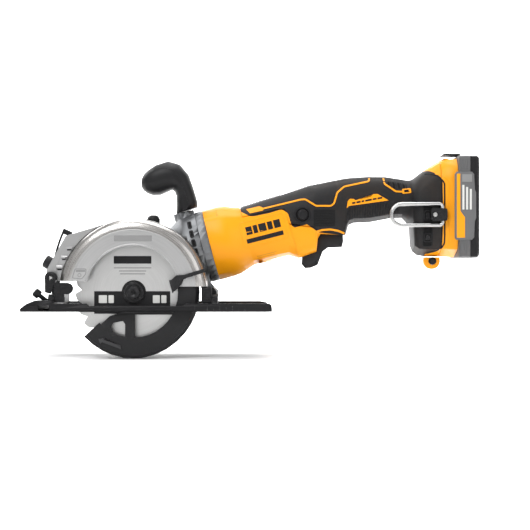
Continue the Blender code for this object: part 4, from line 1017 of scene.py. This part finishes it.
    def back_ridges(self) -> None:
        """Cross ridges along the top of the soft covering."""
        for i in range(24):
            x = 106.0 + 3.2 * i
            rings = []
            for k in range(8):
                y = -7.0 + 2.0 * k
                top = self.skin.top(x * MM, y * MM)
                rings.append([Vector(((x + dx) * MM, y * MM, top + dz * MM))
                              for dx, dz in ((-0.8, -0.4), (-0.6, 0.3), (0.0, 0.5), (0.6, 0.3), (0.8, -0.4))])
            mesh = bmesh.new()
            loft(mesh, rings, False)
            self.maker.piece(f"back_ridge_{i:02d}", mesh, SOFT_GRIP, 50.0)

    def screws(self) -> None:
        """Heads of the screws that close the halves, and the foot's small one."""
        places = ((240.0, 97.0, 2.9), (112.0, 60.0, 3.2), (176.0, 64.5, 3.0))
        for side, word in ((NEAR, "near"), (FAR, "far")):
            x, z = 297.6, 93.9
            y = self.skin.side(x * MM, z * MM, side) / MM
            ScrewHead(self.maker, 1.9, 0.9, Recess.STAR).at(f"foot_screw_{word}", facing(x, y, z, side))
        for i, (x, z, radius) in enumerate(places):
            y = self.skin.side(x * MM, z * MM, FAR) / MM
            ScrewHead(self.maker, radius, 1.3).at(f"closing_screw_{i}", facing(x, y, z, FAR))


@dataclass
class Blades:
    """Blade, its printed band, flanges and bolt, and the upper guard round them."""

    spin: Maker = field(default_factory=lambda: Maker("spindle", "steel"))
    print: Maker = field(default_factory=lambda: Maker("spindle", "black_plastic"))
    body: Maker = field(default_factory=lambda: Maker("saw_body", "bright_metal"))
    mark: Maker = field(default_factory=lambda: Maker("saw_body", "black_plastic"))

    def build(self) -> None:
        """Dresses the turning parts and the guard."""
        self.spin.carried("blade", BLADE, 20.0)
        for node in ("outer_flange", "blade_bolt"):
            self.print.carried(node, BLACK_STEEL)
        for node in ("inner_flange", "spindle", "spindle_gear"):
            self.spin.carried(node, STEEL)
        self.band()
        self.flange_rings()
        self.guard()

    def band(self) -> None:
        """The dark band across the blade and a few plain bars in place of print."""
        skin = Skin("blade")
        edge = [(-38.5, -2.4), (35.3, -2.4), (35.3, 19.5), (-38.5, 19.5)]
        self.print.applique("blade_band", edge, BLADE_PRINT, skin, NEAR, 0.06, 0.05, 6.0)
        bars = [(-34.0, 8.0, -26.0, 15.6), (-24.6, 8.0, -19.4, 15.6), (18.4, 8.0, 25.2, 15.6),
                (26.6, 8.0, 31.6, 15.6),
                (-34.0, 3.2, -20.0, 4.8), (18.4, 3.2, 31.6, 4.8), (-9.0, 1.2, 9.0, 2.4)]
        for i, (x0, z0, x1, z1) in enumerate(bars):
            self.print.applique(f"band_bar_{i}", rounded(x0, z0, x1, z1, 0.7), PALE_PRINT, skin, NEAR, 0.09,
                                0.02, 6.0)
        rows = [(-19.5, 46.2, 17.0, 53.6), (-19.5, 41.6, 17.0, 42.6), (-14.5, 38.6, 12.0, 39.6),
                (-13.5, 35.8, 11.0, 36.8)]
        for i, (x0, z0, x1, z1) in enumerate(rows):
            finish = BLADE_PRINT if i == 0 else GREY_PRINT
            self.print.applique(f"blade_row_{i}", rounded(x0, z0, x1, z1, 0.45), finish, skin, NEAR, 0.06,
                                0.02, 6.0)

    def flange_rings(self) -> None:
        """The dark washer behind the outer flange and a groove on it."""
        base = facing(0.0, -44.75, ARBOR_Z, NEAR)
        self.print.turned("washer_ring", base,
                          [(10.9, 0.0), (11.8, 0.0), (11.8, 0.35), (11.4, 0.5), (10.9, 0.5)],
                          BLADE_PRINT, 48)
        face = facing(0.0, -47.8, ARBOR_Z, NEAR)
        self.print.turned("flange_ring", face, [(7.4, 0.0), (8.8, 0.0), (8.6, 0.28), (7.6, 0.28)],
                          BLACK_STEEL, 48)

    def guard(self) -> None:
        """The upper guard: satin face, polished shoulder, rims and a small plain plate."""
        self.body.carried("upper_guard", SATIN, 28.0)
        skin = Skin("upper_guard")
        self.body.bead("guard_rim_inner", arc(0.0, ARBOR_Z, 46.3, 14.0, 166.0, 60), 1.2, SATIN, skin, NEAR,
                       0.45)
        self.body.bead("guard_rim_outer", arc(0.0, ARBOR_Z, 60.4, 18.0, 158.0, 60), 0.8, SATIN, skin, NEAR,
                       0.25)
        row = rounded(-17.8, 67.6, 18.6, 73.4, 0.6)
        self.mark.applique("guard_row", row, GREY_PRINT, skin, NEAR, 0.06, 0.05, 3.0)
        plate = [(-57.8, 32.4), (-48.6, 31.6), (-44.9, 36.4), (-44.6, 41.2), (-55.2, 41.2)]
        self.body.bead("guard_plate_rim", plate, 0.8, GREY_PRINT, skin, NEAR, 0.15, closed=True, step=1.0)
        self.mark.applique("guard_plate_head", [(-54.6, 38.2), (-45.6, 38.2), (-45.4, 40.4), (-54.2, 40.4)],
                            GREY_PRINT, skin, NEAR, 0.1, 0.05)
        self.mark.bead("guard_plate_ring", arc(-51.0, 35.2, 1.6, 0, 330, 12), 0.6, GREY_PRINT, skin, NEAR,
                       0.12,
                        closed=True, step=0.6)


@dataclass
class SwingGuard:
    """The lower guard with its arrow, its rim and its thumb lever."""

    maker: Maker = field(default_factory=lambda: Maker("lower_guard", "dark_plastic"))

    def build(self) -> None:
        """Dresses the guard and raises its arrow, lighter in colour as a painted highlight."""
        self.maker.carried("lower_guard", GUARD_PLASTIC, 30.0)
        self.maker.carried("guard_lever", GUARD_PLASTIC, 34.0)
        skin = Skin("lower_guard")
        arrow = leaned([(-12.5, 0.0), (-7.0, 3.3), (-7.6, 1.3), (9.4, 2.2), (11.6, -1.0), (-8.2, -1.4),
                        (-9.0, -3.6)],
                       -21.5, -31.0, -22.0)
        # Painted highlight: the arrow is lighter than the guard to stand in for the light on its raised
        # faces.
        self.maker.applique("guard_arrow", arrow, ARROW_HIGHLIGHT, skin, NEAR, 0.9, 0.2, 2.0)
        self.maker.bead("guard_edge_line", arc(0.0, ARBOR_Z, 60.4, -134.0, -12.0, 60), 0.8, GUARD_PLASTIC,
                        skin, NEAR, 0.3)
        lever = Skin("guard_lever")
        for i in range(4):
            x = 41.5 + 2.6 * i
            self.maker.bead(f"lever_ridge_{i}", ((x, 21.5 + 0.6 * i), (x + 1.4, 31.0 + 0.6 * i)), 1.0,
                            GUARD_PLASTIC,
                            lever, NEAR, 0.35)


@dataclass
class FrontEnd:
    """Front arm, gear case, motor ring, front handle and spindle lock."""

    arm: Maker = field(default_factory=lambda: Maker("saw_body", "bright_metal"))
    case: Maker = field(default_factory=lambda: Maker("saw_body", "cast_metal"))
    black: Maker = field(default_factory=lambda: Maker("saw_body", "black_plastic"))
    motor: Point2 = (73.5, 64.7)
    vent_reach: float = -15.0

    def build(self) -> None:
        """Dresses the castings and adds their ribs, vents and seams."""
        self.arm.carried("front_arm", SATIN_ARM)
        for node in ("gear_case", "gear_cover", "motor_ring"):
            self.case.carried(node, CAST)
        self.black.carried("front_handle", BLACK_PLASTIC, 40.0)
        Maker("spindle_lock", "black_plastic").carried("spindle_lock", BLACK_PLASTIC)
        self.arm_ribs()
        self.vents()
        self.handle()

    def arm_ribs(self) -> None:
        """Three cast ribs across the arm, a painted shadow line under each, and painted shade in the channel
        below them.
        """
        skin = Skin("front_arm")
        ribs = (((-64.6, 61.4), (-45.5, 61.4), 2.6), ((-69.4, 52.5), (-52.0, 52.5), 3.4),
                ((-74.0, 43.0), (-58.0, 43.0), 4.0))
        for i, (a, b, wide) in enumerate(ribs):
            self.arm.bead(f"arm_rib_{i}", (a, b), wide, SATIN_ARM, skin, NEAR, 2.4, step=1.5)
            # Painted shadow: a near-black line just under each rib.
            under = ((a[0] + 0.6, a[1] - wide / 2 - 0.5), (b[0] - 0.6, b[1] - wide / 2 - 0.5))
            self.arm.bead(f"arm_rib_shadow_{i}", under, 1.3, PAINTED_SLOT_SHADE, skin, NEAR, 0.12, step=1.5)
        for i, (a, b) in enumerate((((-59.0, 55.0), (-57.4, 59.4)), ((-64.4, 46.0), (-62.0, 50.0)))):
            self.arm.bead(f"arm_web_{i}", (a, b), 5.0, CAST, skin, NEAR, 0.4, step=1.5)
        # Painted shade: a near-black patch in the channel below the ribs.
        self.case.applique("arm_channel_shade", [(-69.0, 29.6), (-63.4, 29.6), (-61.4, 40.2), (-66.6, 40.2)],
                           PAINTED_SLOT_SHADE,
                           skin, NEAR, 0.15)

    def vents(self) -> None:
        """Air openings between the gear case and the motor ring: near-black patches of painted shade inside
        raised frames.
        """
        skin = Skin("gear_case", "motor_ring")
        for side, word in ((NEAR, "near"), (FAR, "far")):
            for i in range(6):
                x, z = leaned([(self.vent_reach, 24.0 - 9.2 * i)], *self.motor, MOTOR_LEAN)[0]
                hole = leaned(rounded(-1.5, -3.2, 1.5, 3.2, 0.8), x, z, MOTOR_LEAN)
                # Painted shade: a near-black patch stands in for the shade inside each opening.
                self.black.applique(f"air_opening_shade_{word}_{i}", hole, PAINTED_SLOT_SHADE, skin, side, 0.2, 0.3, 1.6)
                self.black.bead(f"air_frame_{word}_{i}", hole, 1.2, BLACK_PLASTIC, skin, side, 0.7,
                                closed=True, step=1.2)

    def handle(self) -> None:
        """Moulding seam on the front handle, and a screw head on its far side."""
        skin = Skin("front_handle")
        for side, word in ((NEAR, "near"), (FAR, "far")):
            line = ((14.0, 137.8), (24.0, 142.0), (36.0, 139.6), (43.0, 130.0), (47.0, 118.0), (52.0, 103.0))
            self.black.bead(f"handle_line_{word}", line, 0.7, BLACK_PLASTIC, skin, side, 0.2)
            y = skin.side(47.5 * MM, 103.5 * MM, side) / MM
            if side == FAR:
                ScrewHead(self.black, 2.8, 1.2, Recess.HEX).at("handle_screw", facing(47.5, y, 103.5, side))


@dataclass
class Shoe:
    """Shoe, its brackets, and the levers and screws that set depth and tilt."""

    shoe: Maker = field(default_factory=lambda: Maker("shoe", "black_plastic"))
    frame: Maker = field(default_factory=lambda: Maker("depth_frame", "black_plastic"))

    def build(self) -> None:
        """Dresses the shoe's parts and marks its notches."""
        self.shoe.carried("shoe", SHOE_PAINT, 30.0)
        self.frame.carried("front_bracket", SHOE_PAINT, 34.0)
        self.frame.carried("rear_bracket", SHOE_PAINT, 34.0)
        Maker("fence_screw", "black_plastic").carried("fence_screw", BLACK_PLASTIC)
        Maker("depth_lever", "black_plastic").carried("depth_lever", BLACK_PLASTIC)
        Maker("stop_knob", "black_plastic").carried("stop_knob", BLACK_PLASTIC)
        Maker("saw_body", "steel").carried("depth_bolt", STEEL)
        Maker("saw_body", "steel").carried("depth_pin", STEEL)
        skin = Skin("shoe")
        for i in range(9):
            x = 60.0 + 6.0 * i
            self.shoe.bead(f"shoe_mark_{i}", ((x, 1.6), (x, 4.2 if i % 2 else 5.4)), 0.5, BLACK_STEEL, skin,
                           NEAR, 0.02,
                           step=1.0)
        rear = Skin("rear_bracket")
        self.frame.bead("rear_window", rounded(68.6, 12.4, 74.6, 19.6, 1.0), 0.9, SHOE_PAINT, rear, NEAR,
                        0.4, closed=True,
                        step=1.2)
        lever = Skin("depth_lever")
        for i in range(3):
            arc_line = arc(-79.2, 32.0, 4.2, 200, 340, 12)
            moved = [(x, z - 2.2 * i) for x, z in arc_line]
            Maker("depth_lever", "black_plastic").bead(f"lever_line_{i}", moved, 0.6, BLACK_PLASTIC, lever,
                                                       NEAR, 0.25,
                                                        step=1.0)


@dataclass
class Battery:
    """Battery pack: ribbed grey sides, black back, label plate and its button."""

    grey: Maker = field(default_factory=lambda: Maker("battery", "grey_plastic"))
    black: Maker = field(default_factory=lambda: Maker("battery", "black_plastic"))
    yellow: Maker = field(default_factory=lambda: Maker("battery", "yellow_plastic"))

    def build(self) -> None:
        """Dresses the pack and adds its ribs and label plates."""
        self.grey.carried("battery_case", GREY_CASE, 30.0)
        self.black.carried("battery_back", BLACK_PLASTIC, 30.0)
        Maker("battery_button", "black_plastic").carried("battery_button", BLACK_PLASTIC)
        skin = Skin("battery_case", "battery_back")
        for side, word in ((NEAR, "near"), (FAR, "far")):
            for i in range(3):
                x = 318.6 + 2.8 * i
                for j, (low, high) in enumerate(((55.6, 66.0), (139.0, 149.0))):
                    self.grey.bead(f"side_rib_{word}_{i}_{j}", ((x, low), (x, high)), 1.3, GREY_CASE, skin,
                                   side, 0.3)

        self.label()

    def label(self) -> None:
        """Raised plates on both sides with a plain yellow stripe."""
        plate = [(313.6, 69.4), (329.0, 69.4), (331.4, 72.0), (331.4, 88.0), (333.2, 90.6), (333.2, 116.0),
                 (331.4, 118.6), (331.4, 133.4), (329.0, 136.0), (314.2, 136.0), (312.2, 133.6),
                 (312.2, 71.6)]
        stripe = [(314.2, 71.6), (322.2, 71.6), (322.2, 91.4), (317.6, 97.6), (317.6, 134.0), (314.8, 134.0),
                  (314.2, 133.0)]
        sign = [(319.4, 126.0), (329.0, 126.0), (329.0, 133.4), (319.4, 133.4)]
        for side, word in ((NEAR, "near"), (FAR, "far")):
            self.grey.plate(f"label_plate_{word}", plate, side, 36.8, 38.1, 0.45, LABEL)
            self.yellow.plate(f"label_stripe_{word}", stripe, side, 37.9, 38.3, 0.12, YELLOW_TRIM)
            self.grey.plate(f"label_sign_{word}", sign, side, 37.9, 38.25, 0.1, GREY_PRINT)
            for i in range(3):
                x = 319.6 + 3.6 * i
                bar = [(x, 99.0), (x + 2.0, 99.0), (x + 2.0, 123.0 - 2.0 * i), (x, 123.0 - 2.0 * i)]
                self.grey.plate(f"label_bar_{word}_{i}", bar, side, 37.9, 38.22, 0.1, PALE_PRINT)


@dataclass
class Fittings:
    """Hook, eyelet, trigger, buttons and everything else that rides with them."""

    def build(self) -> None:
        """Dresses the small parts."""
        Maker("hook", "zinc").carried("hook", ZINC, 60.0)
        body = Maker("saw_body", "black_plastic")
        body.carried("hook_plate", BLACK_PLASTIC)
        Maker("saw_body", "yellow_plastic").carried("eyelet", YELLOW_TRIM)
        body.carried("eyelet_screw", BLACK_STEEL)
        Maker("saw_body", "steel").carried("hook_screw", STEEL)
        Maker("trigger", "dark_plastic").carried("trigger", GUARD_PLASTIC, 40.0)
        Maker("lock_off", "black_plastic").carried("lock_off", BLACK_PLASTIC)


@dataclass
class Inside:
    """The parts that only show through openings: they keep their CAD shapes."""

    steel: Sequence[str] = ("layshaft", "bevel_gear", "rotor_shaft", "layshaft_bearing_far",
                            "layshaft_bearing_near",
                            "motor_bearing_front", "motor_bearing_rear", "spindle_bearing_far",
                            "spindle_bearing_near",
                            "guard_spring", "guard_retainer", "handle_stud", "rotor_core",
                            "housing_screw_foot",
                            "housing_screw_grip", "battery_cells")
    black: Sequence[str] = ("fan", "end_bell", "switch_module", "terminal_block")

    def build(self) -> None:
        """Gives each node its finish."""
        for node in self.steel:
            self.dress(node, STEEL)
        for node in self.black:
            self.dress(node, BLACK_PLASTIC)
        self.dress("stator", COPPER)
        self.dress("control_module", BOARD)

    @staticmethod
    def dress(node: str, finish: Finish) -> None:
        """Puts a finish on a CAD node."""
        piece = frame["nodes"][node]
        for holder in piece.material_slots:
            holder.material = finish.material()


@dataclass
class Studio:
    """Pale floor and sweep, soft lights and the camera."""

    distance: float = 1.344
    middle: Point2 = (0.1272, 0.0449)
    lens: float = 91.0
    lamps: Sequence[tuple[str, Point3, Point3, float, float]] = (
        ("key", (-0.5, -1.3, 1.35), (0.1, 0.0, 0.05), 20.0, 0.9),
        ("fill", (1.25, -1.2, 0.6), (0.15, 0.0, 0.05), 5.0, 1.0),
        ("top", (0.15, 0.1, 1.5), (0.12, 0.0, 0.05), 16.0, 1.1),
        ("wall", (0.12, 0.75, 0.9), (0.12, 1.5, 0.2), 34.0, 2.0),
        ("edge", (-0.9, 0.7, 0.9), (0.1, 0.0, 0.05), 9.0, 0.7),
    )

    def build(self) -> None:
        """Makes the sweep, the lights, the world and the camera."""
        self.sweep()
        for lamp in self.lamps:
            self.light(*lamp)
        world = bpy.data.worlds.new("studio")
        world.use_nodes = True
        back = next(n for n in world.node_tree.nodes if n.type == "BACKGROUND")
        back.inputs["Color"].default_value = (1.0, 1.0, 1.0, 1.0)
        back.inputs["Strength"].default_value = 0.5
        bpy.context.scene.world = world
        bpy.context.scene.view_settings.view_transform = "Standard"
        data = bpy.data.cameras.new("camera")
        data.lens = self.lens
        data.clip_end = 20.0
        camera = bpy.data.objects.new("camera", data)
        camera.location = (self.middle[0], -self.distance, self.middle[1])
        camera.rotation_euler = (math.radians(90.0), 0.0, 0.0)
        bpy.context.scene.collection.objects.link(camera)
        bpy.context.scene.camera = camera

    def sweep(self) -> None:
        """A floor that curves up into a wall behind the saw."""
        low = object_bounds()[0].z - 0.0004
        mesh = bmesh.new()
        profile = [(-3.0, low), (0.9, low)]
        profile += [(0.9 + 0.6 * math.sin(t * math.pi / 20), low + 0.6 * (1 - math.cos(t * math.pi / 20)))
                    for t in range(1, 11)]
        profile.append((1.5, low + 3.0))
        rows = [[mesh.verts.new((x, y, z)) for x in (-4.0, 4.0)] for y, z in profile]
        for one, two in zip(rows, rows[1:]):
            mesh.faces.new([one[0], one[1], two[1], two[0]])
        data = bpy.data.meshes.new("sweep")
        mesh.to_mesh(data)
        mesh.free()
        data.shade_smooth()
        finish = bpy.data.materials.new("pale_paper")
        finish.use_nodes = True
        shader = next(n for n in finish.node_tree.nodes if n.type == "BSDF_PRINCIPLED")
        shader.inputs["Base Color"].default_value = (0.93, 0.93, 0.93, 1.0)
        shader.inputs["Roughness"].default_value = 0.9
        data.materials.append(finish)
        made = bpy.data.objects.new("sweep", data)
        bpy.context.scene.collection.objects.link(made)
        made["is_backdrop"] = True

    @staticmethod
    def light(name: str, place: Point3, target: Point3, power: float, size: float) -> None:
        """A soft square light that faces a point.

        Args:
            name: its name.
            place: where it stands.
            target: what it faces.
            power: its power in watts.
            size: its side in metres.
        """
        data = bpy.data.lights.new(name, "AREA")
        data.energy = power
        data.size = size
        made = bpy.data.objects.new(name, data)
        made.location = place
        made.rotation_euler = (Vector(target) - Vector(place)).to_track_quat("-Z", "Y").to_euler()
        bpy.context.scene.collection.objects.link(made)


def main() -> None:
    """Builds the scene."""
    logging.basicConfig(level=logging.INFO, format="%(name)s: %(message)s")
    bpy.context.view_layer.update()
    studio = Studio()
    studio.build()
    for assembly in (Housing(), Blades(), SwingGuard(), FrontEnd(), Shoe(), Battery(), Fittings(), Inside()):
        before = len(bpy.data.objects)
        assembly.build()
        LOG.info("%s: %d pieces", type(assembly).__name__, len(bpy.data.objects) - before)


if __name__ == "__main__":
    main()
